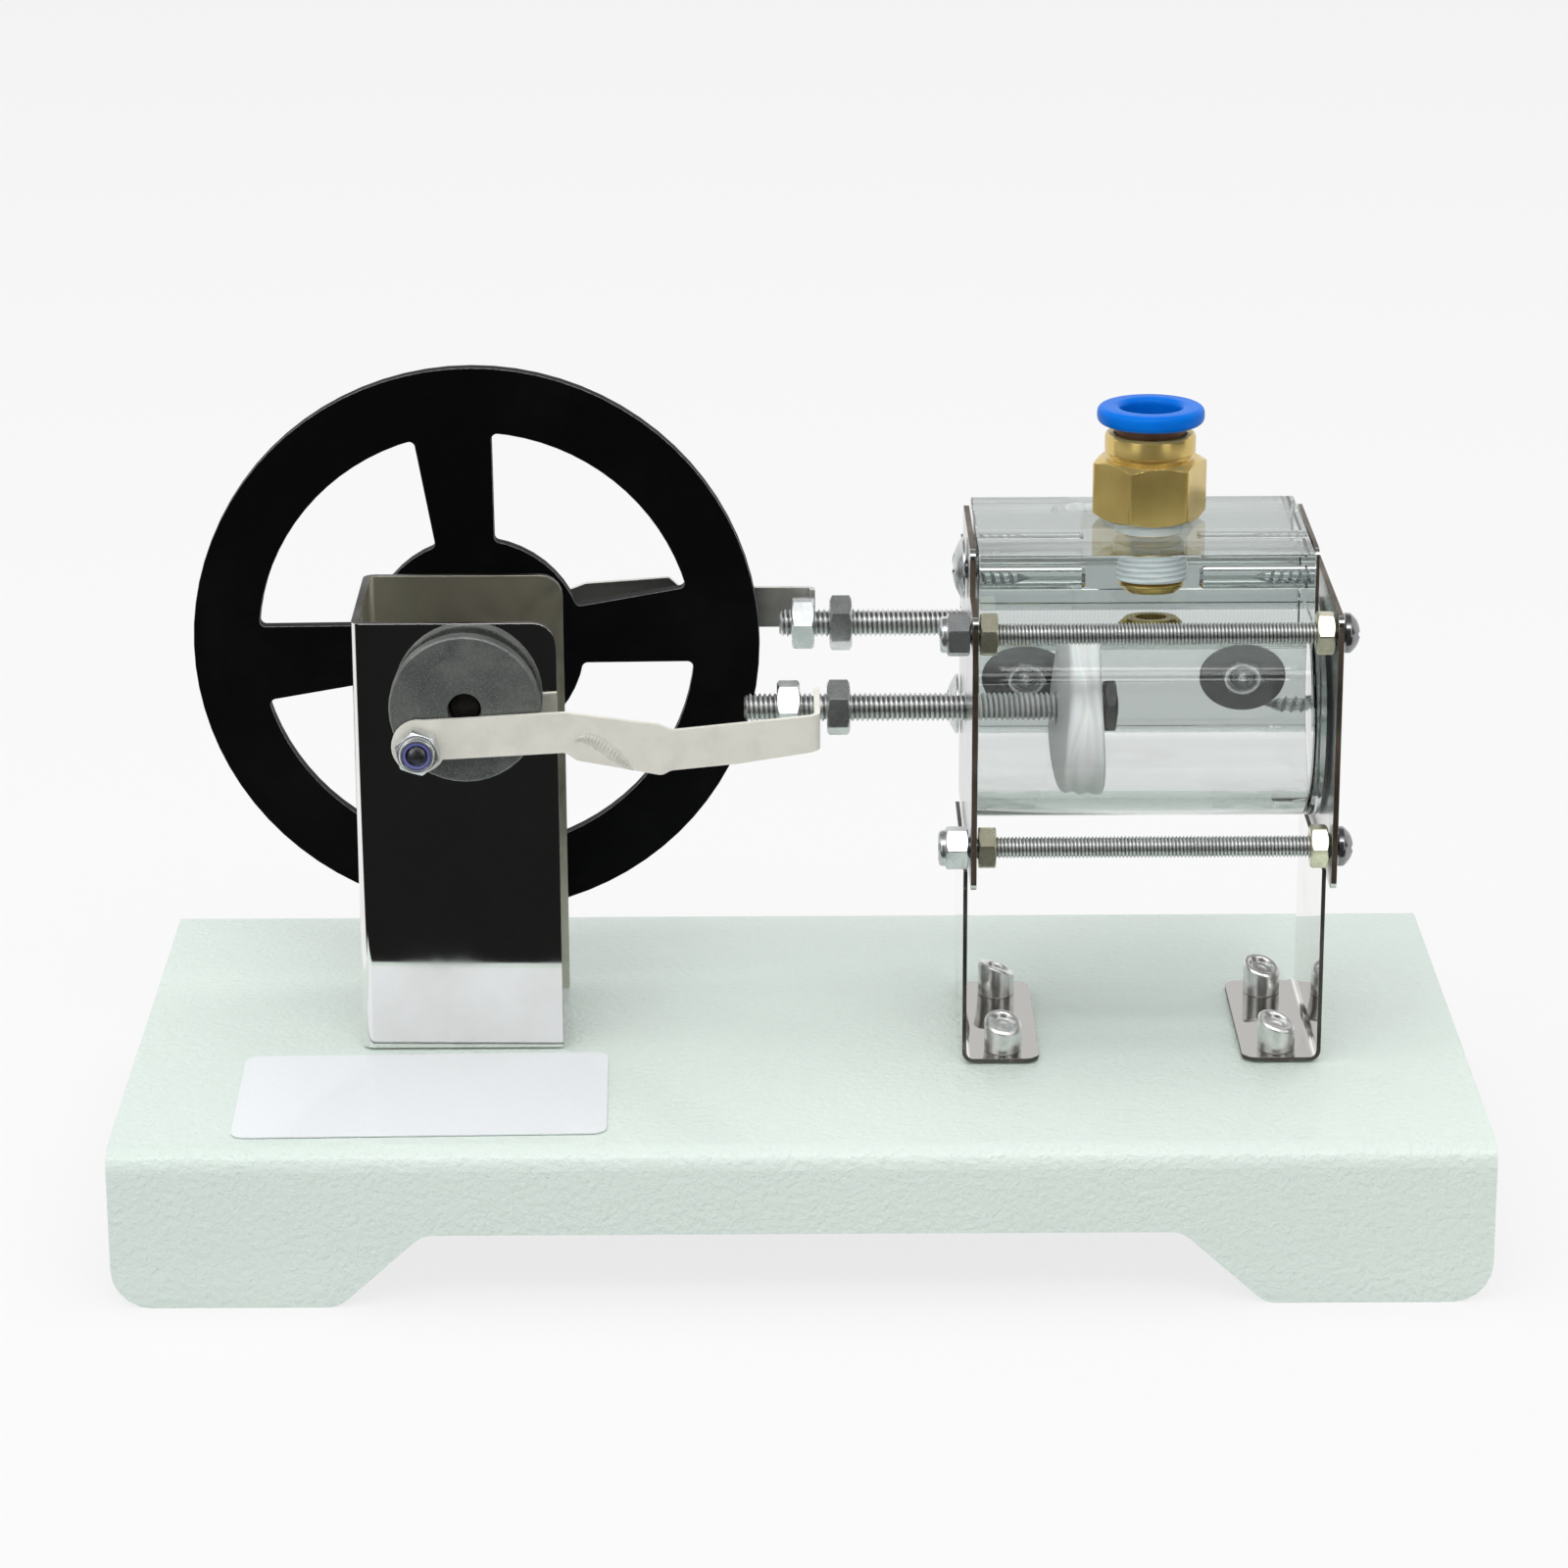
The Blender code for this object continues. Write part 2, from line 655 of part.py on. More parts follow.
def build_crank(looks):
    """Shaft, crank disc and crank pin, all turning on the shaft's axis."""
    centre = (shaft_x, shaft_z)
    origin = (shaft_x, engine_y, shaft_z)
    bore = shaft_radius + running_gap
    nut_low = flywheel_front_y + flywheel_thickness + seat_gap
    shaft_end = nut_low + m4_thin_nut_height + seat_gap
    shaft = [(0, crank_disc_front_y + shaft_recess), (shaft_radius, crank_disc_front_y + shaft_recess),
             (shaft_radius, shaft_end), (0, shaft_end)]
    piece("crank_shaft", turned("Y", centre, shaft, small_steps), looks["zinc"], origin)

    disc_back = crank_disc_front_y + crank_disc_thickness
    edge = crank_disc_chamfer
    disc = [(bore, crank_disc_front_y), (crank_disc_radius - edge, crank_disc_front_y),
            (crank_disc_radius, crank_disc_front_y + edge), (crank_disc_radius, disc_back - edge),
            (crank_disc_radius - edge, disc_back), (bore, disc_back)]
    crank_disc = piece("crank_disc", turned("Y", centre, disc, disc_steps), looks["crank_steel"], origin)
    pin_centre = (crank_pin_x, crank_pin_z)
    pin_hole = rod("Y", pin_centre, m3_radius + running_gap, crank_disc_front_y - overrun, disc_back + overrun, 16)
    shape_with(crank_disc, pin_hole, "DIFFERENCE")

    nut_face = strip_front_y - seat_gap
    nut_end = nut_face - m3_lock_nut_height
    head_low = disc_back + seat_gap
    pin_end = nut_end + m3_insert_height / 2
    pin = [(0, pin_end), (m3_radius, pin_end), (m3_radius, head_low), (pin_head_radius, head_low),
           (pin_head_radius, head_low + pin_head_height), (0, head_low + pin_head_height)]
    piece("crank_pin", turned("Y", pin_centre, pin, 16), looks["zinc"], origin)
    piece("crank_pin_nut", lock_nut("Y", pin_centre, nut_face, nut_end, math.radians(12)), looks["zinc"], origin)


def flywheel_window(middle):
    """One gap between two tapered spokes, its middle at the given angle."""
    def edge_angle(radius, spoke_width):
        return math.pi / flywheel_spokes - math.asin(spoke_width / 2 / radius)
    rim_half = edge_angle(flywheel_rim_inner_radius, spoke_width_at_rim)
    hub_half = edge_angle(flywheel_hub_radius, spoke_width_at_hub)
    outline = arc((0, 0), flywheel_rim_inner_radius, middle - rim_half, middle + rim_half, 16)
    outline += arc((0, 0), flywheel_hub_radius, middle + hub_half, middle - hub_half, 8)
    corners = {0, 16, 17, 25}
    return rounded([(first, second, window_corner_radius if i in corners else 0)
                    for i, (first, second) in enumerate(outline)])


def build_flywheel(looks):
    """A disc of sheet with four windows, its nut, and the pin that drives the valve link."""
    origin = (shaft_x, engine_y, shaft_z)
    centre = (shaft_x, shaft_z)
    front = flywheel_front_y
    back = front + flywheel_thickness
    windows = []
    for i in range(flywheel_spokes):
        middle = flywheel_turn + math.pi * (2 * i + 1) / flywheel_spokes
        windows.append([(shaft_x + a, shaft_z + b) for a, b in flywheel_window(middle)])
    bore = ring(centre, shaft_radius + running_gap)
    pin_centre = (valve_pin_x, valve_pin_z)
    pin_hole = ring(pin_centre, m3_radius + running_gap, 16)
    work = extruded("Y", ring(centre, flywheel_radius, large_steps), front, back, [*windows, bore, pin_hole])
    piece("flywheel", work, looks["black_steel"], origin)
    low = back + seat_gap
    thin_nut = nut("Y", centre, low, m4_nut_flats, m4_thin_nut_height, shaft_radius + running_gap)
    piece("flywheel_nut", thin_nut, looks["zinc"], origin)

    head_low = front - seat_gap - pin_head_height
    collar_end = link_front_y - seat_gap
    nut_low = link_back_y + seat_gap
    pin_end = nut_low + m3_lock_nut_height - m3_insert_height / 2
    collar_radius = pin_head_radius
    pin = [(0, head_low), (pin_head_radius, head_low), (pin_head_radius, front - seat_gap),
           (m3_radius, front - seat_gap), (m3_radius, back + seat_gap), (collar_radius, back + seat_gap),
           (collar_radius, collar_end), (m3_radius, collar_end), (m3_radius, pin_end), (0, pin_end)]
    piece("valve_crank_pin", turned("Y", pin_centre, pin, 16), looks["zinc"], origin)
    piece("valve_pin_nut", lock_nut("Y", pin_centre, nut_low, nut_low + m3_lock_nut_height), looks["zinc"], origin)


def connecting_rod_outline():
    """The rod from its eye through the wider lapped middle to the folded end, about its pin."""
    high, low = rod_eye_shoulders
    start = math.asin(high / rod_eye_radius)
    end = 2 * math.pi + math.asin(low / rod_eye_radius)
    eye = arc((0, 0), rod_eye_radius, start, end, 20)
    high, low = rod_end_edges
    lower = [(a, b, rod_edge_blend) for a, b in rod_lower_edge[:-1]] + [(*rod_lower_edge[-1], 0)]
    upper = [(a, b, rod_edge_blend) for a, b in rod_upper_edge[:-1]] + [(*rod_upper_edge[-1], 0)]
    return rounded([(a, b, 0) for a, b in eye] + lower
                   + [(rod_reach, low, 0), (rod_reach, high, 0)] + upper[::-1])


def build_connecting_rod(looks):
    """The folded strip is cut to its side outline, so the tab at its end keeps the strip's width."""
    origin = (crank_pin_x, strip_back_y, crank_pin_z)
    tab_x = crank_pin_x + rod_reach
    tab_end_y = engine_y - m4_corner_radius - seat_gap
    plan = folded_strip(tab_x, strip_front_y, -rod_reach - 2 * rod_eye_radius, tab_end_y - strip_front_y,
                        strip_bend_radius, strip_thickness)
    strip = extruded("Z", plan, crank_pin_z - rod_widest_reach, crank_pin_z + rod_widest_reach)
    connecting_rod = piece("connecting_rod", strip, looks["satin_nickel"], origin)
    side = [(crank_pin_x + a, crank_pin_z + b) for a, b in connecting_rod_outline()]
    side = [(a + overrun if a > tab_x - running_gap else a, b) for a, b in side]
    shape_with(connecting_rod, extruded("Y", side, strip_front_y - overrun, tab_end_y + overrun), "INTERSECT")
    eye = rod("Y", (crank_pin_x, crank_pin_z), m3_radius + running_gap, strip_front_y - overrun,
              strip_back_y + overrun, 16)
    shape_with(connecting_rod, eye, "DIFFERENCE")


def build_valve_link(looks):
    """A strip behind the flywheel with a stepped lap, folded forward at the valve rod."""
    origin = (valve_pin_x, link_front_y, valve_pin_z)
    tab_x = valve_pin_x + link_reach
    tab_end_y = valve_y + m4_corner_radius + seat_gap
    plan = folded_strip(tab_x, link_back_y, -link_reach - 2 * link_eye_radius, tab_end_y - link_back_y,
                        strip_thickness + running_gap, strip_thickness)
    strip = extruded("Z", plan, valve_pin_z - link_widest_reach, valve_pin_z + link_widest_reach)
    link = piece("valve_link", strip, looks["satin_nickel"], origin)
    shoulder = math.asin(link_width / 2 / link_eye_radius)
    eye = arc((0, 0), link_eye_radius, shoulder, 2 * math.pi - shoulder, 20)
    low, high = link_end_edges
    end = link_reach + overrun
    outline = [(a, b, 0) for a, b in eye] + [(a, b, rod_edge_blend) for a, b in link_lower_edge]
    outline += [(end, low, 0), (end, high, 0)]
    outline += [(a, b, link_edge_blend) for a, b in link_upper_edge[::-1]]
    side = [(valve_pin_x + a, valve_pin_z + b) for a, b in rounded(outline)]
    shape_with(link, extruded("Y", side, tab_end_y - overrun, link_back_y + overrun), "INTERSECT")
    eye = rod("Y", (valve_pin_x, valve_pin_z), m3_radius + running_gap, link_front_y - overrun,
              link_back_y + overrun, 16)
    shape_with(link, eye, "DIFFERENCE")


def build_piston(looks):
    """The threaded piston rod with its two adjusting nuts, the grooved piston and its nut."""
    centre = (engine_y, cylinder_z)
    origin = (piston_left_x, engine_y, cylinder_z)
    nut_x = piston_left_x + piston_length + seat_gap
    rod_end = nut_x + piston_nut_height + seat_gap
    shaft = [(0, piston_rod_left_x), (m4_radius, piston_rod_left_x), (m4_radius, rod_end), (0, rod_end)]
    piece("piston_rod", turned("X", centre, shaft, small_steps), looks["zinc"], origin)
    bore = m4_radius + running_gap
    for name, low in (("piston_rod_nut_outer", piston_nut_outer_x), ("piston_rod_nut_inner", piston_nut_inner_x)):
        piece(name, nut("X", centre, low, m4_nut_flats, m4_nut_height, bore), looks["zinc"], origin)
    low = piston_left_x
    high = low + piston_length
    middle = (low + high) / 2
    groove = piston_groove_width / 2
    edge = piston_groove_depth / 2
    floor = piston_radius - piston_groove_depth
    profile = [(bore, low), (piston_radius - edge, low), (piston_radius, low + edge),
               (piston_radius, middle - groove), (floor, middle - groove / 2), (floor, middle + groove / 2),
               (piston_radius, middle + groove), (piston_radius, high - edge), (piston_radius - edge, high),
               (bore, high)]
    piece("piston", turned("X", centre, profile, round_steps), looks["white_plastic"], origin)
    thin = nut("X", centre, nut_x, m4_nut_flats, piston_nut_height, bore)
    piece("piston_nut", thin, looks["crank_steel"], origin)


def build_valve(looks):
    """The valve rod with its two adjusting nuts, and the two-land spool that it moves."""
    centre = (valve_y, valve_z)
    origin = (valve_rod_end_x, valve_y, valve_z)
    shaft = [(0, valve_rod_left_x), (m4_radius, valve_rod_left_x), (m4_radius, valve_rod_end_x), (0, valve_rod_end_x)]
    piece("valve_rod", turned("X", centre, shaft, small_steps), looks["zinc"], origin)
    bore = m4_radius + running_gap
    for name, low in (("valve_rod_nut_outer", valve_nut_outer_x), ("valve_rod_nut_inner", valve_nut_inner_x)):
        piece(name, nut("X", centre, low, m4_nut_flats, m4_nut_height, bore), looks["zinc"], origin)
    low = valve_rod_end_x + seat_gap
    high = low + spool_length
    land = spool_land_length
    profile = [(0, low), (spool_radius, low), (spool_radius, low + land), (spool_waist_radius, low + land),
               (spool_waist_radius, high - land), (spool_radius, high - land), (spool_radius, high), (0, high)]
    piece("valve_spool", turned("X", centre, profile, 16), looks["brass"], origin)


def build_tube(looks):
    """The clear tube with two port holes in its back wall, and the disc that closes its end."""
    centre = (engine_y, cylinder_z)
    walls = [(tube_bore_radius, tube_left_x), (tube_radius, tube_left_x), (tube_radius, tube_right_x),
             (tube_bore_radius, tube_right_x)]
    tube = piece("cylinder_tube", turned("X", centre, walls, disc_steps), looks["clear_acrylic"])
    holes = [rod("Y", (x, cylinder_z), port_neck_radius + running_gap, engine_y + tube_bore_radius - overrun,
                 engine_y + tube_radius + overrun, 16) for x in (left_port_x, right_port_x)]
    shape_with(tube, joined(*holes), "DIFFERENCE")
    low = tube_right_x + seat_gap
    spigot = tube_right_x - end_cap_spigot
    spigot_radius = tube_bore_radius - running_gap
    cap = [(0, spigot), (spigot_radius, spigot), (spigot_radius, low), (end_cap_radius, low),
           (end_cap_radius, low + end_cap_thickness), (0, low + end_cap_thickness)]
    piece("cylinder_end_cap", turned("X", centre, cap, disc_steps), looks["clear_acrylic"])


def build_port_seals(looks):
    """Rubber discs with a neck through the tube's wall, between the ports and the valve block."""
    front = port_seal_front_y
    back = front + port_seal_thickness
    neck_front = engine_y + tube_bore_radius + seat_gap
    profile = [(port_bore_radius, neck_front), (port_neck_radius, neck_front), (port_neck_radius, front),
               (port_seal_radius, front), (port_seal_radius, back), (port_bore_radius, back)]
    for name, x in (("port_seal_left", left_port_x), ("port_seal_right", right_port_x)):
        piece(name, turned("Y", (x, cylinder_z), profile, small_steps), looks["black_rubber"])


def build_inlet_block(looks):
    """The clear block on the cylinder, tapped for the fitting and drilled for its end screws."""
    left = tube_left_x
    right = tube_right_x - seat_gap
    block = box(left, right, inlet_block_front_y, inlet_block_back_y, inlet_block_bottom_z, inlet_block_top_z)
    block = piece("inlet_block", block, looks["clear_acrylic"])
    socket_low = inlet_block_top_z - fitting_thread_length - seat_gap
    socket = turned("Z", (fitting_x, fitting_y), [
        (0, socket_low), (fitting_thread_radius + running_gap, socket_low),
        (fitting_thread_radius + running_gap, inlet_block_top_z + overrun), (0, inlet_block_top_z + overrun)])
    screw_centre = (engine_y, inlet_screw_z)
    holes = [rod("X", screw_centre, screw_hole_radius, left - overrun, left + screw_hole_length, 16),
             rod("X", screw_centre, screw_hole_radius, right - screw_hole_length, right + overrun, 16)]
    shape_with(block, joined(socket, *holes), "DIFFERENCE")
    air_way = rod("Y", (fitting_x, inlet_way_z), port_bore_radius, fitting_y, inlet_block_back_y + overrun, 12)
    shape_with(block, air_way, "DIFFERENCE")


def build_cover(looks):
    """A thin plate over the inlet block's right end, under the head of its screw."""
    low = tube_right_x
    outline = rectangle(engine_y - plate_tab_front, engine_y + plate_tab_back, inlet_block_bottom_z + seat_gap,
                        plate_tab_top_z, plate_corner_radius)
    hole = ring((engine_y, inlet_screw_z), screw_radius + running_gap, 16)
    piece("inlet_block_cover", extruded("X", outline, low, low + cover_sheet, [hole]), looks["cut_sheet"])


def build_valve_block(looks):
    """The clear block behind the cylinder, bored for the spool, with air ways to its ports."""
    left, right = tube_left_x, tube_right_x
    block = box(left, right, valve_block_front_y, valve_block_back_y, valve_block_bottom_z, valve_block_top_z)
    block = piece("valve_block", block, looks["clear_acrylic"])
    centre = (valve_y, valve_z)
    screw_centre = (valve_y, valve_screw_z)
    holes = [rod("X", centre, valve_bore_radius, left - overrun, right + overrun),
             rod("X", screw_centre, screw_hole_radius, left - overrun, left + screw_hole_length, 16),
             rod("X", screw_centre, screw_hole_radius, right - screw_hole_length, right + overrun, 16)]
    shape_with(block, joined(*holes), "DIFFERENCE")
    ways = [rod("Z", (fitting_x, valve_y), port_bore_radius, valve_z, inlet_way_z, 12),
            rod("Y", (fitting_x, inlet_way_z), port_bore_radius, valve_block_front_y - overrun, valve_y, 12)]
    for x in (left_port_x, right_port_x):
        ways.append(rod("Z", (x, valve_y), port_bore_radius, cylinder_z, valve_z, 12))
        ways.append(rod("Y", (x, cylinder_z), port_bore_radius, valve_block_front_y - overrun,
                        valve_y + port_bore_radius, 12))
    for i, way in enumerate(ways):
        shape_with(block, way, "DIFFERENCE").modifiers[-1].name = "Air way " + str(i + 1)


def end_plate(name, low_x, tab, holes, look):
    """A flat plate with rounded corners, its holes, and a tab that rises beside the inlet block."""
    half = plate_width / 2
    corner = plate_corner_radius
    tab_front, tab_back = engine_y - plate_tab_front, engine_y + plate_tab_back
    corners = [(engine_y - half, plate_bottom_z, corner), (engine_y + half, plate_bottom_z, corner),
               (engine_y + half, plate_top_z, corner)]
    if tab:
        corners += [(tab_back, plate_top_z, 0), (tab_back, plate_tab_top_z, corner),
                    (tab_front, plate_tab_top_z, corner), (tab_front, plate_top_z, 0)]
    corners.append((engine_y - half, plate_top_z, corner))
    rings = [ring(centre, radius) for centre, radius in holes]
    piece(name, extruded("X", rounded(corners), low_x, low_x + plate_sheet, rings), look)


def build_end_plates(looks):
    tie_hole = m3_radius + running_gap
    screw_hole = screw_radius + running_gap
    common = [((tie_rod_y, upper_tie_rod_z), tie_hole), ((tie_rod_y, lower_tie_rod_z), tie_hole),
              ((valve_y, valve_screw_z), screw_hole)]
    left_holes = [*common, ((engine_y, inlet_screw_z), screw_hole),
                  ((engine_y, cylinder_z), m4_radius + running_gap), ((valve_y, valve_z), valve_bore_radius)]
    end_plate("left_end_plate", left_plate_x, True, left_holes, looks["cut_sheet"])
    end_plate("right_end_plate", right_plate_inner_x, False, common, looks["cut_sheet"])


def build_legs(looks):
    """Sheets folded to a riveted foot; each upright laps its end plate below the tie rod's nuts."""
    low = base_top + seat_gap
    top = lower_tie_rod_z - m3_corner_radius - seat_gap
    for side, outer_x, way in (("left", left_leg_x, 1), ("right", right_leg_x, -1)):
        section = folded_strip(outer_x, low, way * leg_foot_length, top - low, leg_bend_radius, leg_sheet)
        leg = piece(side + "_leg", extruded("Y", section, leg_front_y, leg_back_y), looks["polished_steel"])
        corner = leg_foot_corner_radius
        start, end = outer_x - way * overrun, outer_x + way * leg_foot_length
        plan = rounded([(start, leg_front_y - overrun, 0), (start, leg_back_y + overrun, 0),
                        (outer_x + way * leg_sheet, leg_back_y + overrun, 0),
                        (outer_x + way * leg_sheet, leg_back_y, 0), (end, leg_back_y, corner),
                        (end, leg_front_y, corner), (outer_x + way * leg_sheet, leg_front_y, 0),
                        (outer_x + way * leg_sheet, leg_front_y - overrun, 0)])
        shape_with(leg, extruded("Z", plan, low - overrun, top + overrun), "INTERSECT")
        places = [place for name, place in foot_rivet_places().items() if name.startswith(side)]
        holes = [rod("Z", place, rivet_radius + running_gap, low - overrun, low + leg_sheet + overrun, 12)
                 for place in places]
        shape_with(leg, joined(*holes), "DIFFERENCE")


def build_tie_rods(looks):
    """Long screws along the front, each locked outside the left plate and seated by inner nuts."""
    bore = m3_radius + running_gap
    head_face = right_plate_x + seat_gap
    lock_face = left_plate_x - seat_gap
    lock_end = lock_face - m3_lock_nut_height
    left_nut = left_plate_inner_x + seat_gap
    right_nut = right_plate_inner_x - seat_gap - m3_nut_height
    for label, z in (("upper", upper_tie_rod_z), ("lower", lower_tie_rod_z)):
        centre = (tie_rod_y, z)
        low = lock_end + tie_rod_recess
        profile = [(0, low), (m3_radius, low), (m3_radius, head_face), (m3_head_radius, head_face)]
        profile += [(a * m3_head_radius, head_face + b * m3_head_height) for a, b in pan_head_shares]
        piece(label + "_tie_rod", turned("X", centre, profile, small_steps), looks["zinc"])
        piece(label + "_tie_rod_lock_nut", lock_nut("X", centre, lock_face, lock_end), looks["zinc"])
        for side, x in (("left", left_nut), ("right", right_nut)):
            inner = nut("X", centre, x, m3_nut_flats, m3_nut_height, bore)
            piece(label + "_tie_rod_" + side + "_nut", inner, looks["yellow_zinc"])


def tapping_screw(axis_centre, face, way, head_height):
    """A pointed screw that enters along the given way, its domed head resting on the face."""
    back = face - way * head_height
    tip = face + way * screw_length
    profile = [(a * screw_head_radius, back + way * b * head_height) for a, b in screw_head_shares]
    profile += [(screw_head_radius, face), (screw_radius, face), (screw_radius, tip - way * screw_point_length),
                (0, tip)]
    return turned("X", axis_centre, profile, small_steps)


def build_tapping_screws(looks):
    left_face = left_plate_x - seat_gap
    cover_face = tube_right_x + cover_sheet + seat_gap
    right_face = right_plate_x + seat_gap
    inlet = (engine_y, inlet_screw_z)
    valve = (valve_y, valve_screw_z)
    for name, centre, face, way, height in (
            ("inlet_block_screw_left", inlet, left_face, 1, screw_head_height),
            ("inlet_block_screw_right", inlet, cover_face, -1, flat_head_height),
            ("valve_block_screw_left", valve, left_face, 1, screw_head_height),
            ("valve_block_screw_right", valve, right_face, -1, screw_head_height)):
        piece(name, tapping_screw(centre, face, way, height), looks["zinc"])


def rivet(centre, sheets_low, sheets_high, body_height, slant_turn=None):
    """A blind rivet: a head under the sheet, a shank through it and a body standing above."""
    low = sheets_low - seat_gap - rivet_lower_height
    high = sheets_high + seat_gap
    profile = [(0, low), (rivet_lower_radius * rivet_lower_face_share, low),
               (rivet_lower_radius, low + rivet_lower_height * rivet_lower_edge_share),
               (rivet_lower_radius, sheets_low - seat_gap), (rivet_radius, sheets_low - seat_gap),
               (rivet_radius, high), (rivet_body_radius, high),
               (rivet_body_radius, high + body_height * rivet_body_edge_share),
               (rivet_body_radius * rivet_body_face_share, high + body_height), (0, high + body_height)]
    work = turned("Z", centre, profile, small_steps)
    if slant_turn is not None:
        slope = Vector((math.cos(slant_turn), math.sin(slant_turn)))
        for vertex in work.verts:
            if vertex.co.z > high + body_height / 2:
                vertex.co.z -= rivet_slant_share * slope.dot(vertex.co.xy - Vector(centre))
    return work


def build_rivets(looks):
    sheets_low = base_top - base_sheet
    foot_high = base_top + seat_gap + leg_sheet
    for name, centre in foot_rivet_places().items():
        work = rivet(centre, sheets_low, foot_high, rivet_body_height, rivet_slant_turns[name])
        piece(name, work, looks["aluminium"])
    for name, centre in bracket_rivet_places().items():
        work = rivet(centre, sheets_low, base_top + seat_gap + bracket_sheet, bracket_rivet_height)
        piece(name, work, looks["aluminium"])


def build_fitting(looks):
    """The brass push-in fitting: a threaded shank, a chamfered hexagon and a grooved collar."""
    centre = (fitting_x, fitting_y)
    low = inlet_block_top_z + seat_gap
    hex_top = low + fitting_hex_height
    neck_top = hex_top + fitting_neck_height
    collar_top = neck_top + fitting_collar_height
    thread_low = inlet_block_top_z - fitting_thread_length
    air_high = collar_top - fitting_bore_depth
    angles, radii = hexagon_ring(fitting_hex_flats, 4)
    face_radius = fitting_hex_flats / 2 * fitting_face_share
    drop = (radii - face_radius) * math.tan(nut_chamfer_angle)
    edge = fitting_chamfer / 2
    sections = [
        (fitting_air_radius, thread_low), (fitting_thread_radius - edge, thread_low),
        (fitting_thread_radius, thread_low + edge), (fitting_thread_radius, low),
        (face_radius, low), (radii, low + drop), (radii, hex_top - drop), (face_radius, hex_top),
        (fitting_neck_radius, hex_top), (fitting_neck_radius, neck_top), (fitting_collar_radius, neck_top),
        (fitting_collar_radius, collar_top - edge), (fitting_collar_radius - edge, collar_top),
        (fitting_bore_radius, collar_top), (fitting_bore_radius, air_high), (fitting_air_radius, air_high),
    ]
    work = stacked("Z", centre, sections, angles, fitting_hex_turn)
    piece("fitting_body", work, looks["brass"])
    return collar_top


def build_release_ring(looks, collar_top):
    """The blue ring that is pressed down to let the hose go."""
    centre = (fitting_x, fitting_y)
    low = collar_top + seat_gap + ring_travel
    high = low + ring_thickness
    edge = ring_edge
    profile = [(ring_bore_radius, low - ring_sleeve_length), (ring_sleeve_radius, low - ring_sleeve_length),
               (ring_sleeve_radius, low), (ring_radius - edge, low), (ring_radius, low + edge),
               (ring_radius, high - edge), (ring_radius - edge, high), (ring_bore_radius + edge, high),
               (ring_bore_radius, high - edge)]
    piece("release_ring", turned("Z", centre, profile, round_steps), looks["blue_plastic"],
          (fitting_x, fitting_y, low))


def main():
    clear_scene()
    looks = make_finishes()
    build_base(looks)
    build_label(looks)
    build_bracket(looks)
    build_bushes(looks)
    build_crank(looks)
    build_flywheel(looks)
    build_connecting_rod(looks)
    build_valve_link(looks)
    build_piston(looks)
    build_valve(looks)
    build_tube(looks)
    build_port_seals(looks)
    build_inlet_block(looks)
    build_cover(looks)
    build_valve_block(looks)
    build_end_plates(looks)
    build_legs(looks)
    build_tie_rods(looks)
    build_tapping_screws(looks)
    build_rivets(looks)
    build_release_ring(looks, build_fitting(looks))


main()
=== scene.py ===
"""Looks of the steam engine model: finishes, threads, hexagons, clear acrylic, light and camera.

Lengths are millimetres until a mesh or a lamp is made. Places come from the CAD nodes' own boxes.
"""
import math

import bmesh
import bpy
import numpy as np
from mathutils import Matrix, Vector


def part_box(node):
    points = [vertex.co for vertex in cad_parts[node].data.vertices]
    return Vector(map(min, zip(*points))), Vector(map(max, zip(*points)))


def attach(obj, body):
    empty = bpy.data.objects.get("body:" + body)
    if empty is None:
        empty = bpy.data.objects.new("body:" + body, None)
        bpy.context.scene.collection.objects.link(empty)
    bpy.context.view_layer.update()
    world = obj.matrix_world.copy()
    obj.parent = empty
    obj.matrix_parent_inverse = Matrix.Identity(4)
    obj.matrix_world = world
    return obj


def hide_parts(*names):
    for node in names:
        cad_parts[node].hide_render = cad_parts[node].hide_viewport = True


MM = 0.001


class Field:
    """A shader socket that takes part in sums, products and powers, by adding Math nodes."""

    def __init__(self, board, link):
        self.board = board
        self.link = link

    def _math(self, operation, *values):
        return self.board.node("ShaderNodeMath", {"operation": operation}, dict(enumerate(values)))

    def __add__(self, other):
        return self._math("ADD", self, other)

    __radd__ = __add__

    def __sub__(self, other):
        return self._math("SUBTRACT", self, other)

    def __rsub__(self, other):
        return self._math("SUBTRACT", other, self)

    def __mul__(self, other):
        return self._math("MULTIPLY", self, other)

    __rmul__ = __mul__

    def __abs__(self):
        return self._math("ABSOLUTE", self)

    def above(self, edge):
        return self._math("GREATER_THAN", self, edge)

    def most(self, other):
        return self._math("MAXIMUM", self, other)

    def step(self, low, high):
        """0 below low, 1 above high and a smooth rise between."""
        return self.board.node("ShaderNodeMapRange", {"interpolation_type": "SMOOTHSTEP"},
                               {"Value": self, "From Min": low, "From Max": high}, "Result")


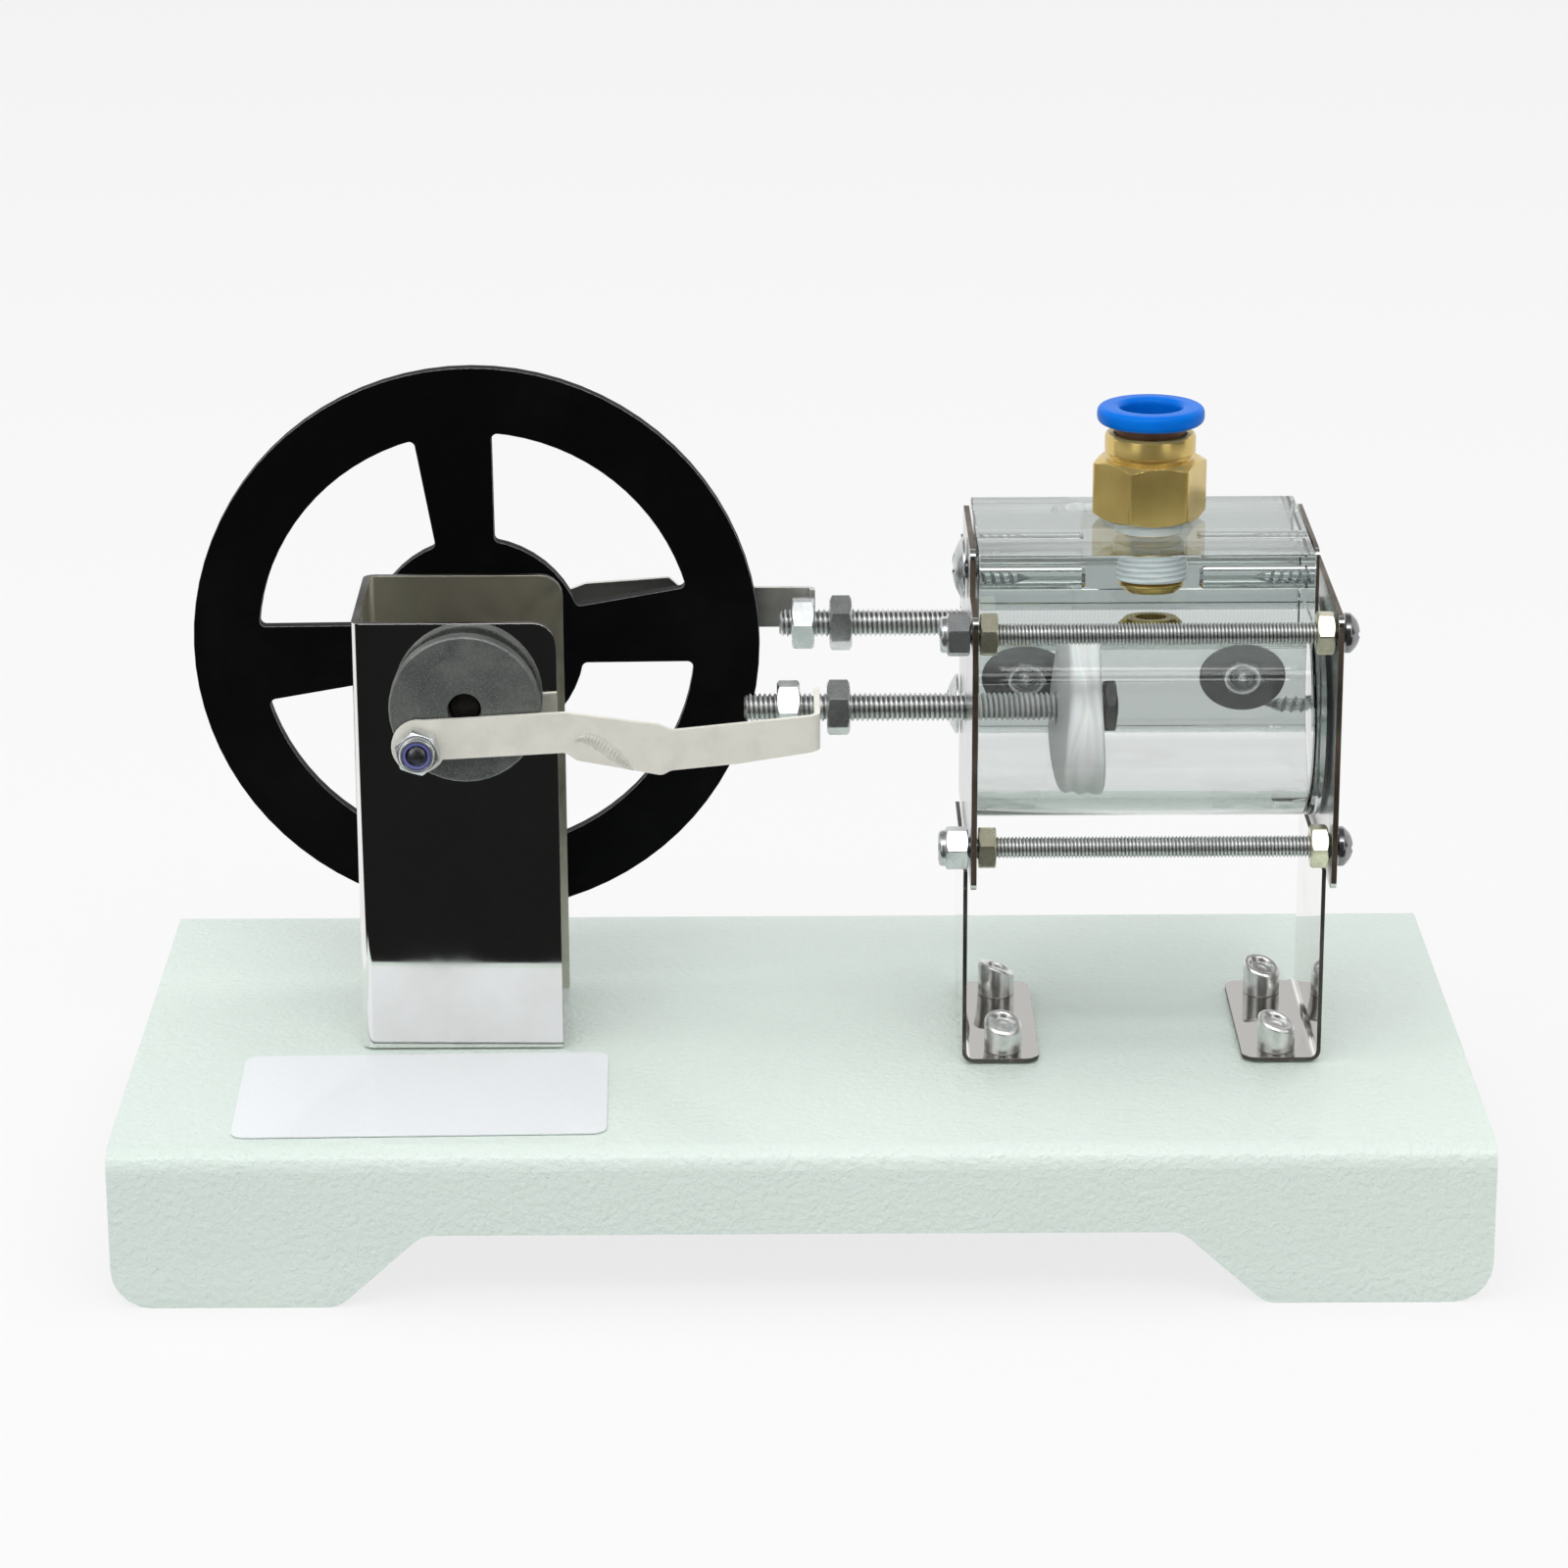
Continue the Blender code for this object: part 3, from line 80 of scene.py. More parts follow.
class Board:
    """A node tree and its end. Every node comes from node(), which hands out a socket as a Field."""

    def __init__(self, tree, end):
        self.tree = tree
        tree.nodes.clear()
        self.end = tree.nodes.new(end)

    def node(self, kind, settings=None, inputs=None, output=0):
        made = self.tree.nodes.new(kind)
        for key, value in (settings or {}).items():
            setattr(made, key, value)
        for key, value in (inputs or {}).items():
            if isinstance(value, Field):
                self.tree.links.new(value.link, made.inputs[key])
            else:
                made.inputs[key].default_value = value
        return Field(self, made.outputs[output])

    def show(self, shader):
        self.tree.links.new(shader.link, self.end.inputs["Surface"])

    def mixed(self, share, first, second):
        """One shader turning into another as share goes from 0 to 1."""
        return self.node("ShaderNodeMixShader", None, {0: share, 1: first, 2: second})

    def watched(self):
        """1 for what the camera sees, straight, through clear pieces or in mirrors, and 0 for the rest."""
        camera, through, mirror = (self.node("ShaderNodeLightPath", output=f"Is {kind} Ray")
                                   for kind in ("Camera", "Transmission", "Glossy"))
        return camera.most(through).most(mirror)


class Finish(Board):
    """A material with one main shader; the constants and set() work on that shader's own sockets."""

    def __init__(self, name, **constants):
        self.material = bpy.data.materials.new(name)
        self.material.use_nodes = True
        super().__init__(self.material.node_tree, "ShaderNodeOutputMaterial")
        self.shader = self.tree.nodes.new("ShaderNodeBsdfPrincipled")
        self.show(self.main())
        for socket, value in constants.items():
            self.shader.inputs[socket.replace("_", " ")].default_value = value

    def main(self):
        return Field(self, self.shader.outputs[0])

    def place(self, output="Object"):
        return self.node("ShaderNodeTexCoord", output=output)

    def axis(self, vector, letter):
        return self.node("ShaderNodeSeparateXYZ", None, {0: vector}, letter)

    def noise(self, scale, detail=3.0, roughness=0.5, stretch=(1, 1, 1), distortion=0.0):
        """Cloudy values from 0 to 1, scale in features per metre, stretched along the axes."""
        where = self.node("ShaderNodeMapping", None, {"Vector": self.place(), "Scale": stretch})
        return self.node("ShaderNodeTexNoise", None, {"Vector": where, "Scale": scale, "Detail": detail,
                                                      "Roughness": roughness, "Distortion": distortion})

    def blend(self, share, first, second):
        """One colour turning into another as share goes from 0 to 1."""
        colours = [c if isinstance(c, Field) else (*c, 1) for c in (first, second)]
        return self.node("ShaderNodeMix", {"data_type": "RGBA", "clamp_factor": True},
                         {0: share, 6: colours[0], 7: colours[1]}, 2)

    def set(self, **values):
        for socket, value in values.items():
            self.tree.links.new(value.link, self.shader.inputs[socket.replace("_", " ")])
        return self

    def bump(self, height, depth, strength=1.0):
        """Relief of the given depth in metres."""
        lifted = self.node("ShaderNodeBump", None, {"Height": height, "Distance": depth, "Strength": strength})
        return self.set(Normal=lifted)

    def coat(self, colour, roughness, relief, depth, strength=1.0):
        """The material, once it has its colour, its roughness and its relief."""
        return self.set(Base_Color=colour, Roughness=roughness).bump(relief, depth, strength).material


# finishes

def powder_coat():
    """Pale grey-green powder coat: soft orange peel, a slow drift of tone and fine specks."""
    made = Finish("powder_coat", Specular_IOR_Level=0.35, Coat_Weight=0.3, Coat_Roughness=0.18)
    peel = made.noise(1050, 2.0, 0.5)
    grain = made.noise(4200, 2.0, 0.6)
    drift = made.noise(14, 2.0, 0.5)
    tone = made.blend(drift.step(0.3, 0.7), (0.69, 0.785, 0.73), (0.73, 0.82, 0.765))
    colour = made.blend(grain.step(0.55, 0.8) * 0.2, tone, (0.84, 0.9, 0.87))
    return made.coat(colour, 0.34 + 0.16 * peel, peel * 0.85 + grain * 0.15, 0.0004)


def label_film():
    """White printed film, left blank, with the faint ripple of a sticker."""
    made = Finish("label", Coat_Weight=0.2)
    ripple = made.noise(60, 2.0, 0.5)
    fibre = made.noise(1800, 3.0, 0.6)
    colour = made.blend(fibre.step(0.3, 0.8), (0.79, 0.82, 0.84), (0.83, 0.85, 0.87))
    return made.coat(colour, 0.36 + 0.1 * fibre, ripple, 0.0002, 0.5)


BRACKET_MIDDLE = 0.0025
MIRROR, MIRROR_DULL = (0.9, 0.895, 0.88), (0.82, 0.815, 0.795)
# The second satin colour is painted shade for the bracket's inner faces.
SATIN, SATIN_SHADE = (0.85, 0.83, 0.72), (0.42, 0.4, 0.335)
# Painted shade for faces that look up, as the feet do.
UPWARD_SHADE = (0.44, 0.43, 0.41)


def polished_steel():
    """Mirror-polished sheet with hairlines and a trace of haze; the bracket's inner faces are left satin.

    A face is an inner one where it looks towards the plane y = 2.5 mm that halves the bracket; there the satin
    colour darkens in clouds, painted shade between the flanges. Faces that look up, as the feet do, take a darker
    colour: painted shade that dims the bright world they mirror.
    """
    made = Finish("polished_steel", Metallic=1.0)
    haze = made.noise(90, 3.0, 0.6)
    lines = made.noise(900, 2.0, 0.6, stretch=(0.05, 1, 6))
    cloud = made.noise(38, 4.0, 0.6, distortion=0.5)
    facing = made.axis(made.place("Normal"), "Y") * (made.axis(made.place(), "Y") - BRACKET_MIDDLE)
    inner = (0 - facing).above(0.005)
    outside = made.blend(haze.step(0.35, 0.75), MIRROR, MIRROR_DULL)
    # Painted shade: faces that look up take a darker colour, so they mirror less of the bright world.
    outside = made.blend(made.axis(made.place("Normal"), "Z").step(0.7, 0.95), outside, UPWARD_SHADE)
    # Inner faces: satin, darkened in clouds as painted shade between the flanges.
    inside = made.blend(cloud.step(0.35, 0.62), SATIN, SATIN_SHADE)
    roughness = 0.035 + 0.07 * haze.step(0.45, 0.9) + 0.03 * lines.step(0.6, 0.8) + 0.3 * inner
    return made.coat(made.blend(inner, outside, inside), roughness, made.noise(35, 1.0, 0.4), 0.00002, 0.4)


def cut_sheet():
    """Bright satin sheet with a fine upright brushing and a few dull marks."""
    made = Finish("cut_sheet", Metallic=1.0)
    smear = made.noise(240, 3.0, 0.6, stretch=(1, 1, 0.2))
    brushing = made.noise(1500, 2.0, 0.6, stretch=(1, 1, 0.1))
    colour = made.blend(smear.step(0.3, 0.8), (0.68, 0.69, 0.67), (0.58, 0.59, 0.58))
    return made.coat(colour, 0.16 + 0.12 * smear, brushing, 0.00003, 0.5)


def cut_edge(name, dark, light):
    """The edge of cut sheet: torn and browned by the cut, with lighter flecks."""
    made = Finish(name, Metallic=0.8)
    tear = made.noise(900, 4.0, 0.65)
    burn = made.noise(120, 2.0, 0.5)
    tone = made.blend(burn.step(0.3, 0.7), dark, light)
    colour = made.blend(tear.step(0.6, 0.75) * 0.5, tone, (0.5, 0.48, 0.44))
    return made.coat(colour, 0.35 + 0.25 * tear, tear, 0.00006, 0.7)


def crank_steel():
    """Dark satin steel with a fine speckle, cloudy from oil and handling."""
    made = Finish("crank_steel", Metallic=0.65, Specular_IOR_Level=0.3)
    cloud = made.noise(130, 4.0, 0.6, distortion=0.6)
    fine = made.noise(4300, 3.0, 0.7)
    tone = made.blend(cloud.step(0.3, 0.7), (0.12, 0.134, 0.13), (0.225, 0.236, 0.225))
    colour = made.blend(fine.step(0.44, 0.74) * 0.55, tone, (0.42, 0.43, 0.41))
    return made.coat(colour, 0.38 + 0.2 * fine, fine * 0.7 + cloud * 0.3, 0.00004, 0.9)


def black_steel():
    """Satin black sheet, with a painted highlight along its cut edges."""
    made = Finish("black_steel", Specular_IOR_Level=0.06)
    across = abs(made.axis(made.place("Normal"), "Y"))
    # Painted highlight: a light colour along the edges, where the faces turn away from front and back.
    edge = across.step(0.25, 0.5) * (1 - across.step(0.85, 0.97))
    grain = made.noise(1300, 3.0, 0.6)
    dust = made.noise(70, 3.0, 0.6)
    tone = made.blend(dust.step(0.4, 0.8), (0.0022, 0.0022, 0.0026), (0.0045, 0.0045, 0.005))
    colour = made.blend(edge * (0.55 + 0.45 * grain.step(0.4, 0.6)), tone, (0.3, 0.31, 0.32))
    return made.coat(colour, 0.42 + 0.14 * grain, grain, 0.00003, 0.6)


def satin_nickel(name, light, stained, metallic, roughness):
    """Satin nickel on strip, with lengthwise brushing and small dull marks."""
    made = Finish(name, Metallic=metallic)
    brush = made.noise(1500, 3.0, 0.6, stretch=(0.04, 1, 1))
    stain = made.noise(190, 4.0, 0.6)
    tone = made.blend(stain.step(0.35, 0.75), light, stained)
    colour = made.blend(brush.step(0.5, 0.8) * 0.3, tone, tuple(min(0.9, 1.12 * v) for v in light))
    return made.coat(colour, roughness + 0.16 * brush + 0.08 * stain, brush, 0.00002, 0.7)


def zinc(name, bright, dull, gloss):
    """Zinc plate: bright, cloudy where it was handled, rougher where it is dull."""
    made = Finish(name, Metallic=0.9)
    cloud = made.noise(420, 4.0, 0.6)
    speck = made.noise(2600, 2.0, 0.6)
    tone = made.blend(cloud.step(0.35, 0.7), bright, dull)
    colour = made.blend(speck.step(0.62, 0.75) * 0.4, tone, tuple(0.45 * v for v in dull))
    return made.coat(colour, gloss + 0.14 * cloud, cloud * 0.7 + speck * 0.3, 0.00002, 0.6)


def thread_zinc():
    """Zinc on a rolled thread: bright crests and roots darkened by painted shade, after the points' own crest
    value.
    """
    made = Finish("thread_zinc", Metallic=1.0)
    cloud = made.noise(420, 4.0, 0.6)
    crest = made.node("ShaderNodeAttribute", {"attribute_name": "crest"}, output="Fac")
    tone = made.blend(cloud.step(0.35, 0.7), (0.92, 0.93, 0.92), (0.8, 0.81, 0.81))
    # Painted shade: the colour darkens from crest to root.
    colour = made.blend(crest.step(0.0, 0.7), (0.36, 0.36, 0.36), tone)
    return made.coat(colour, 0.28 + 0.14 * cloud, cloud, 0.00002, 0.6)


def brass():
    """Machined brass: very fine turning marks, warm and darker where it was handled."""
    made = Finish("brass", Metallic=0.7)
    turning = made.noise(2600, 2.0, 0.6, stretch=(0.06, 0.06, 1.6))
    blotch = made.noise(120, 3.0, 0.55)
    colour = made.blend(blotch.step(0.3, 0.75), (0.8, 0.6, 0.2), (0.62, 0.45, 0.14))
    return made.coat(colour, 0.2 + 0.1 * turning, turning, 0.00001, 0.4)


def plastic(name, colour, shade, roughness, coat=0.0, gloss=0.5):
    """Moulded plastic: near-even colour, a fine grain and a soft drift of tone."""
    made = Finish(name, Coat_Weight=coat, Specular_IOR_Level=gloss)
    grain = made.noise(2200, 2.0, 0.6)
    drift = made.noise(130, 3.0, 0.6)
    tone = made.blend(drift.step(0.25, 0.8), colour, shade)
    return made.coat(tone, roughness + 0.1 * grain, grain * 0.4 + drift * 0.6, 0.00003, 0.6)


def sealing_tape():
    """White thread tape, milky and finely pleated round what it wraps."""
    made = Finish("white_plastic", Subsurface_Weight=0.2, Subsurface_Scale=0.002)
    pleat = made.noise(520, 4.0, 0.6, stretch=(1.4, 0.5, 0.5), distortion=0.8)
    colour = made.blend(pleat.step(0.25, 0.75), (0.95, 0.97, 0.965), (0.98, 0.98, 0.98))
    return made.coat(colour, 0.3 + 0.2 * pleat, pleat, 0.0001, 0.5)


LAMP_SHARE = 0.98


def clear_acrylic(name, tint, haze_low, haze_high):
    """Clear acrylic with a faint haze; lamps pass through it, so what is inside stays lit."""
    made = Finish(name, Transmission_Weight=1.0, IOR=1.49, Base_Color=(*tint, 1))
    haze = made.noise(150, 3.0, 0.6)
    made.set(Roughness=haze_low + (haze_high - haze_low) * haze.step(0.5, 0.85))
    made.bump(made.noise(45, 1.0, 0.4), 0.00002, 0.3)
    lamp_ray = made.node("ShaderNodeLightPath", output="Is Shadow Ray")
    clear = made.node("ShaderNodeBsdfTransparent", None, {"Color": (0.97, 0.98, 0.98, 1)})
    made.show(made.mixed(lamp_ray * LAMP_SHARE, made.main(), clear))
    return made.material


# surfaces

DIRECTIONS = {
    "X": np.array([[0, 1, 0], [0, 0, 1], [1, 0, 0]], float),
    "Y": np.array([[1, 0, 0], [0, 0, 1], [0, 1, 0]], float),
    "Z": np.array([[1, 0, 0], [0, 1, 0], [0, 0, 1]], float),
}


def surface(name, points, closed_rows=False, smooth_angle=40.0):
    """A piece from a grid of points in millimetres, one quad between each four neighbours.

    Row i and column j give vertex i * columns + j. The last column is joined to the first, and so is the
    last row if the rows are closed. Points that meet are merged, and the faces are turned outwards.
    """
    rows, columns = points.shape[:2]
    index = np.arange(rows * columns).reshape(rows, columns)
    below = index if closed_rows else index[:-1]
    above = np.roll(index, -1, 0) if closed_rows else index[1:]
    quads = np.stack([below, np.roll(below, -1, 1), np.roll(above, -1, 1), above], -1)
    mesh = bpy.data.meshes.new(name)
    mesh.from_pydata((points.reshape(-1, 3) * MM).tolist(), [], quads.reshape(-1, 4).tolist())
    work = bmesh.new()
    work.from_mesh(mesh)
    bmesh.ops.remove_doubles(work, verts=work.verts, dist=0.0005 * MM)
    bmesh.ops.dissolve_degenerate(work, edges=work.edges, dist=0.0002 * MM)
    bmesh.ops.recalc_face_normals(work, faces=work.faces)
    return placed(name, mesh, work, smooth_angle)


def placed(name, mesh, work, smooth_angle):
    """The worked mesh as an object in the scene, smooth but for edges that turn by more than the angle."""
    work.to_mesh(mesh)
    work.free()
    mesh.shade_smooth()
    mesh.set_sharp_from_angle(angle=math.radians(smooth_angle))
    return linked(name, mesh)


def linked(name, data):
    made = bpy.data.objects.new(name, data)
    bpy.context.scene.collection.objects.link(made)
    return made


def around(steps):
    return np.arange(steps) * 2 * np.pi / steps


def turned_points(axis, centre, radii, along, angles):
    """Points at radius r and angle a about an axis: c + r cos a e1 + r sin a e2 + t e3, for rows of (r, t)."""
    first, second, main = DIRECTIONS[axis]
    radii, along, angles = np.broadcast_arrays(radii, along, angles[None, :])
    flat = (radii * np.cos(angles))[..., None] * first + (radii * np.sin(angles))[..., None] * second
    return np.asarray(centre, float) + flat + along[..., None] * main


def spun(name, axis, centre, angles, parts, ring=True, smooth_angle=28):
    """The parts of a profile, in turn, spun round an axis; a ring is closed from the last row to the first.

    A part is a list of (radius, place) pairs, or rows of radii and rows of places.
    """
    rows = [np.broadcast_arrays(*(np.array(part).T[..., None] if isinstance(part, list) else part),
                                angles[None, :]) for part in parts]
    radii, along = (np.vstack([row[i] for row in rows]) for i in (0, 1))
    return surface(name, turned_points(axis, centre, radii, along, angles), ring, smooth_angle=smooth_angle)


def turned(name, axis, centre, profile, ease, steps=72, corner_steps=4, smooth_angle=40.0):
    """A profile of (radius, place) pairs, its corners eased, spun into a ring or, from the axis, a solid."""
    ring = min(radius for radius, _ in profile) > 0
    rows = softened_profile(profile, ease, ring, corner_steps)
    return spun(name, axis, centre, around(steps), [rows], ring, smooth_angle)


def stepped(inner, start, *steps):
    """A profile of cylinders end to end, each step a (radius, end), round a bore or from the axis."""
    points = [(inner, start)]
    for radius, end in steps:
        points += [(radius, start), (radius, end)]
        start = end
    return points + [(inner, start)]


def softened_profile(profile, radius, closed=True, steps=4):
    """The profile with each corner replaced by a short curve: q(t) = (1-t)^2 a + 2t(1-t) b + t^2 c."""
    profile = [np.array(p, float) for p in profile]
    count = len(profile)
    out = []
    for i, corner in enumerate(profile):
        if not closed and i in (0, count - 1):
            out.append(corner)
            continue
        before = profile[i - 1] - corner
        after = profile[(i + 1) % count] - corner
        reach_before = min(radius, np.linalg.norm(before) * 0.45)
        reach_after = min(radius, np.linalg.norm(after) * 0.45)
        a = corner + before / np.linalg.norm(before) * reach_before
        c = corner + after / np.linalg.norm(after) * reach_after
        for t in np.linspace(0, 1, steps + 1):
            out.append((1 - t) ** 2 * a + 2 * t * (1 - t) * corner + t ** 2 * c)
    return out


FACE_SHARE = 0.965
COLLAR_SHARE = 0.9


def hexagon_radius(flats, angles, corner=90.0):
    """Radius of a hexagon with soft corners: half the flats over the p-norm of its face directions."""
    faces = np.arange(6) * np.pi / 3
    leaning = np.maximum(np.cos(angles[:, None] - faces[None, :]), 0)
    return flats / 2 / (leaning ** corner).sum(1) ** (1 / corner)


def hexagon_rows(flats, low, high, face_radius, angles, rows=9, slope=math.tan(math.radians(30))):
    """Rows of radii and places up a chamfered hexagon: the lesser of its side and a 30 degree cone."""
    radius = hexagon_radius(flats, angles)
    deepest = (radius.max() - face_radius) * slope
    edge = np.linspace(0, 1, rows) * deepest
    along = np.concatenate([low + edge, high - edge[::-1]])[:, None]
    room = np.minimum(along - low, high - along)
    return np.minimum(radius[None, :], face_radius + room / slope), along


def hex_nut(name, axis, centre, low, high, flats, bore, turn=0.0, steps=144):
    """A hexagon nut from its bore's rounded mouth over both chamfered faces."""
    angles = around(steps)
    face = flats / 2 * FACE_SHARE
    mouth = (high - low) * 0.12
    return spun(name, axis, centre, angles, [
        [(bore, low + mouth), (bore + mouth, low), (face - 0.02, low)],
        hexagon_rows(flats, low, high, face, angles - turn),
        [(face - 0.02, high), (bore + mouth, high), (bore, high - mouth)]])


def thread_rows(low, high, radius, pitch, depth, angles, per_turn=10):
    """Rows of a screw thread: the radius falls by depth where place / pitch - angle / turn is between crests."""
    along = np.linspace(low, high, int((high - low) / pitch * per_turn) + 2)[:, None]
    phase = (along - low) / pitch - angles[None, :] / (2 * np.pi)
    crest = np.clip((np.abs(phase % 1 - 0.5) * 2 - 0.1) / 0.75, 0, 1)
    radii = radius - depth * (1 - crest)
    room = np.minimum(along - low, high - along)
    return np.minimum(radii, radius - depth * 1.3 + room), along


def threaded_rod(name, axis, centre, low, high, size, steps=36):
    """A threaded bar, closed by flat discs; each point keeps its share of the way from root to crest."""
    pitch, depth = THREADS[size]
    angles = around(steps)
    rows = thread_rows(low, high, size, pitch, depth, angles)
    made = spun(name, axis, centre, angles, [[(0, low)], rows, [(0, high)]], False, 60)
    points = np.empty(len(made.data.vertices) * 3, np.float32)
    made.data.vertices.foreach_get("co", points)
    away = points.reshape(-1, 3) / MM - centre
    first, second, _ = DIRECTIONS[axis]
    share = (np.hypot(away @ first, away @ second) - size) / depth + 1
    marks = made.data.attributes.new("crest", "FLOAT", "POINT")
    marks.data.foreach_set("value", np.clip(share, 0, 1).astype(np.float32))
    return made


def cross_recess(across, up, width, reach, depth):
    """Depth of a cross-shaped driver recess: two tapered slots, deepest where they meet."""
    def arm(a, b):
        within = np.clip((width - np.abs(a)) / (0.35 * width), 0, 1)
        return within * np.clip((reach - np.abs(b)) / (0.4 * reach), 0, 1)
    return depth * np.maximum(arm(across, up), arm(up, across))


def crown(radius, height, rim, power, recess, angles, rows):
    """Rows of a screw's crown, rim + (h - rim) (1 - (r / R)^p) high, less a cross recess."""
    spread = np.linspace(0, 1, rows)[:, None] ** 0.8
    rho = spread * radius * 0.985
    dome = rim + (height - rim) * (1 - spread ** power)
    return rho, dome - cross_recess(rho * np.cos(angles), rho * np.sin(angles), *recess)


def domed_head(name, centre, face, radius, height, rim, recess, inner):
    """A screw head that stands on its seat: a dome over a short rim, with a cross recess in its crown."""
    angles = around(120)
    rho, lifted = crown(radius, height, rim, 2.6, recess, angles, 34)
    edge = [(radius, face + rim * 0.75), (radius, face + rim * 0.2), (radius * 0.985, face), (inner, face)]
    return spun(name, "X", centre, angles, [(rho, face + lifted), edge], False, 35)


def eased(piece, width):
    bevel = piece.modifiers.new("Eased edges", "BEVEL")
    bevel.width = width * MM
    bevel.segments = 2
    bevel.limit_method = "ANGLE"
    bevel.angle_limit = math.radians(38)
    bevel.harden_normals = True
    return piece


def bored_block(name, low, high, centre, bore, depth=None, ease=0.25):
    """A block with rounded edges and a bore along X, as rows from the bore's left part to its right part.

    A row is b + r n at one place: b a rectangle set in by the ease, n the direction outwards and r from 0 on
    the end faces to the ease along the sides. In the bore a row is c + r (cos a, sin a), a the angle at which
    the row's own point is seen from the bore's centre c. With a depth the bores are blind: they end flat,
    with a sloping corner.
    """
    inner_low, inner_high = np.array(low[1:]) + ease, np.array(high[1:]) - ease
    corners = np.array([[inner_high[0], inner_high[1]], [inner_low[0], inner_high[1]], inner_low,
                        [inner_high[0], inner_low[1]]])
    base, turns = [], []
    for i, corner in enumerate(corners):
        following = corners[(i + 1) % 4]
        count = int(np.linalg.norm(following - corner) / 0.7)
        share = np.linspace(0, 1, count + 1)[1:-1, None]
        base += [np.repeat(corner[None], 4, 0), corner + share * (following - corner)]
        turns += [np.linspace(0, 90, 4) + 90 * i, np.full(len(share), 90 + 90 * i)]
    base, turns = np.concatenate(base), np.radians(np.concatenate(turns))
    outwards = np.stack([np.cos(turns), np.sin(turns)], -1)
    seen = base - centre[1:]
    circle = seen / np.linalg.norm(seen, axis=1)[:, None]
    bend = np.radians([0, 30, 60, 90])
    left, right = low[0], high[0]
    if depth:
        holes = [(0.0, depth), (0.75 * bore, depth), (bore, depth - 0.5), (bore, 0.0)]
    else:
        holes = [(bore, 0.3), (bore, 0.0)]
    rows = [(left + t, centre[1:] + r * circle) for r, t in holes]
    rows += [(left + ease * (1 - math.cos(t)), base + ease * math.sin(t) * outwards) for t in bend]
    rows += [(right - ease * (1 - math.cos(t)), base + ease * math.sin(t) * outwards) for t in bend[::-1]]
    rows += [(right - t, centre[1:] + r * circle) for r, t in holes[::-1]]
    points = np.stack([np.concatenate([np.full((len(flat), 1), x), flat], 1) for x, flat in rows])
    return surface(name, points, closed_rows=not depth, smooth_angle=13)


def from_node(node, ease, sheet=0.0):
    """A copy of a CAD node with its corners joined, its flat faces whole and its edges eased.

    With a sheet thickness, the narrow faces between sharp edges take the second finish.
    """
    mesh = bpy.data.meshes.new(node + "_shape")
    work = bmesh.new()
    work.from_mesh(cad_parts[node].data)
    bmesh.ops.remove_doubles(work, verts=work.verts, dist=0.001 * MM)
    bmesh.ops.dissolve_limit(work, angle_limit=math.radians(0.5), verts=work.verts, edges=work.edges)
    for face in work.faces:
        sharp = sum(e.calc_length() for e in face.edges if e.calc_face_angle(0) > math.radians(60))
        around_it = face.calc_perimeter()
        narrow = 2 * face.calc_area() / around_it < 1.4 * sheet * MM
        face.material_index = 1 if narrow and sharp > 0.45 * around_it else 0
    return eased(placed(node + "_shape", mesh, work, 35), ease)


def settle(piece, look, body, *nodes, slot=None):
    """Gives a piece its finish and the body that it rides on, and hides the nodes that it stands for; the slot is
    not used.
    """
    piece.data.materials.append(looks[look])
    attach(piece, body)
    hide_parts(*nodes)
    return piece


def extent(node):
    """Lowest and highest corner of a CAD node, in millimetres."""
    low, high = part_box(node)
    return np.array(low) / MM, np.array(high) / MM


def span(node, axis):
    """The node's first and last place along an axis, and its centre with no part along it."""
    main = "XYZ".index(axis)
    low, high = extent(node)
    centre = (low + high) / 2
    centre[main] = 0
    return low[main], high[main], centre


def half_height(node):
    low, high = extent(node)
    return (high[2] - low[2]) / 2


# pieces

RUNNING_GAP = 0.3
HAIR = 0.02
M3, M4 = 1.5, 2.0
THREADS = {M3: (0.5, 0.3), M4: (0.7, 0.42)}
FLATS = {M3: 5.5, M4: 7.0}
TUBE_WALL = 2.3
SCREW_BORE, SCREW_BORE_DEPTH = 1.7, 15.0
VALVE_BORE = 2.42
SEAL_THICKNESS, SEAL_NECK, SEAL_FLATS = 0.5, 2.1, 4.9
PLUG_RADIUS = 1.72
BUSH_RADIUS, BUSH_FLANGE, REAR_SPACER = 3.1, 0.8, 1.6
PIN_HEAD_RADIUS, PIN_HEAD = 2.6, 0.8
SPOOL_RADIUS, SPOOL_WAIST, SPOOL_LAND = 2.1, 1.3, 5.0
PISTON_SET_IN = 1.3


def build_sheet_parts():
    """Folded and cut sheet: the nodes' own shapes, with the edges that a press leaves."""
    for node, look, ease, sheet, edge in (
            ("base_channel", "powder_coat", 0.18, 0.0, None), ("blank_label", "label", 0.04, 0.0, None),
            ("shaft_bracket", "polished_steel", 0.1, 1.0, "steel_edge"),
            ("left_leg", "polished_steel", 0.07, 0.6, "steel_edge"),
            ("right_leg", "polished_steel", 0.07, 0.6, "steel_edge"),
            ("left_end_plate", "cut_sheet", 0.07, 0.8, "burnt_edge"),
            ("right_end_plate", "cut_sheet", 0.07, 0.8, "burnt_edge"),
            ("inlet_block_cover", "cut_sheet", 0.05, 0.6, "burnt_edge")):
        made = settle(from_node(node, ease, sheet), look, "stand", node)
        if edge:
            made.data.materials.append(looks[edge])


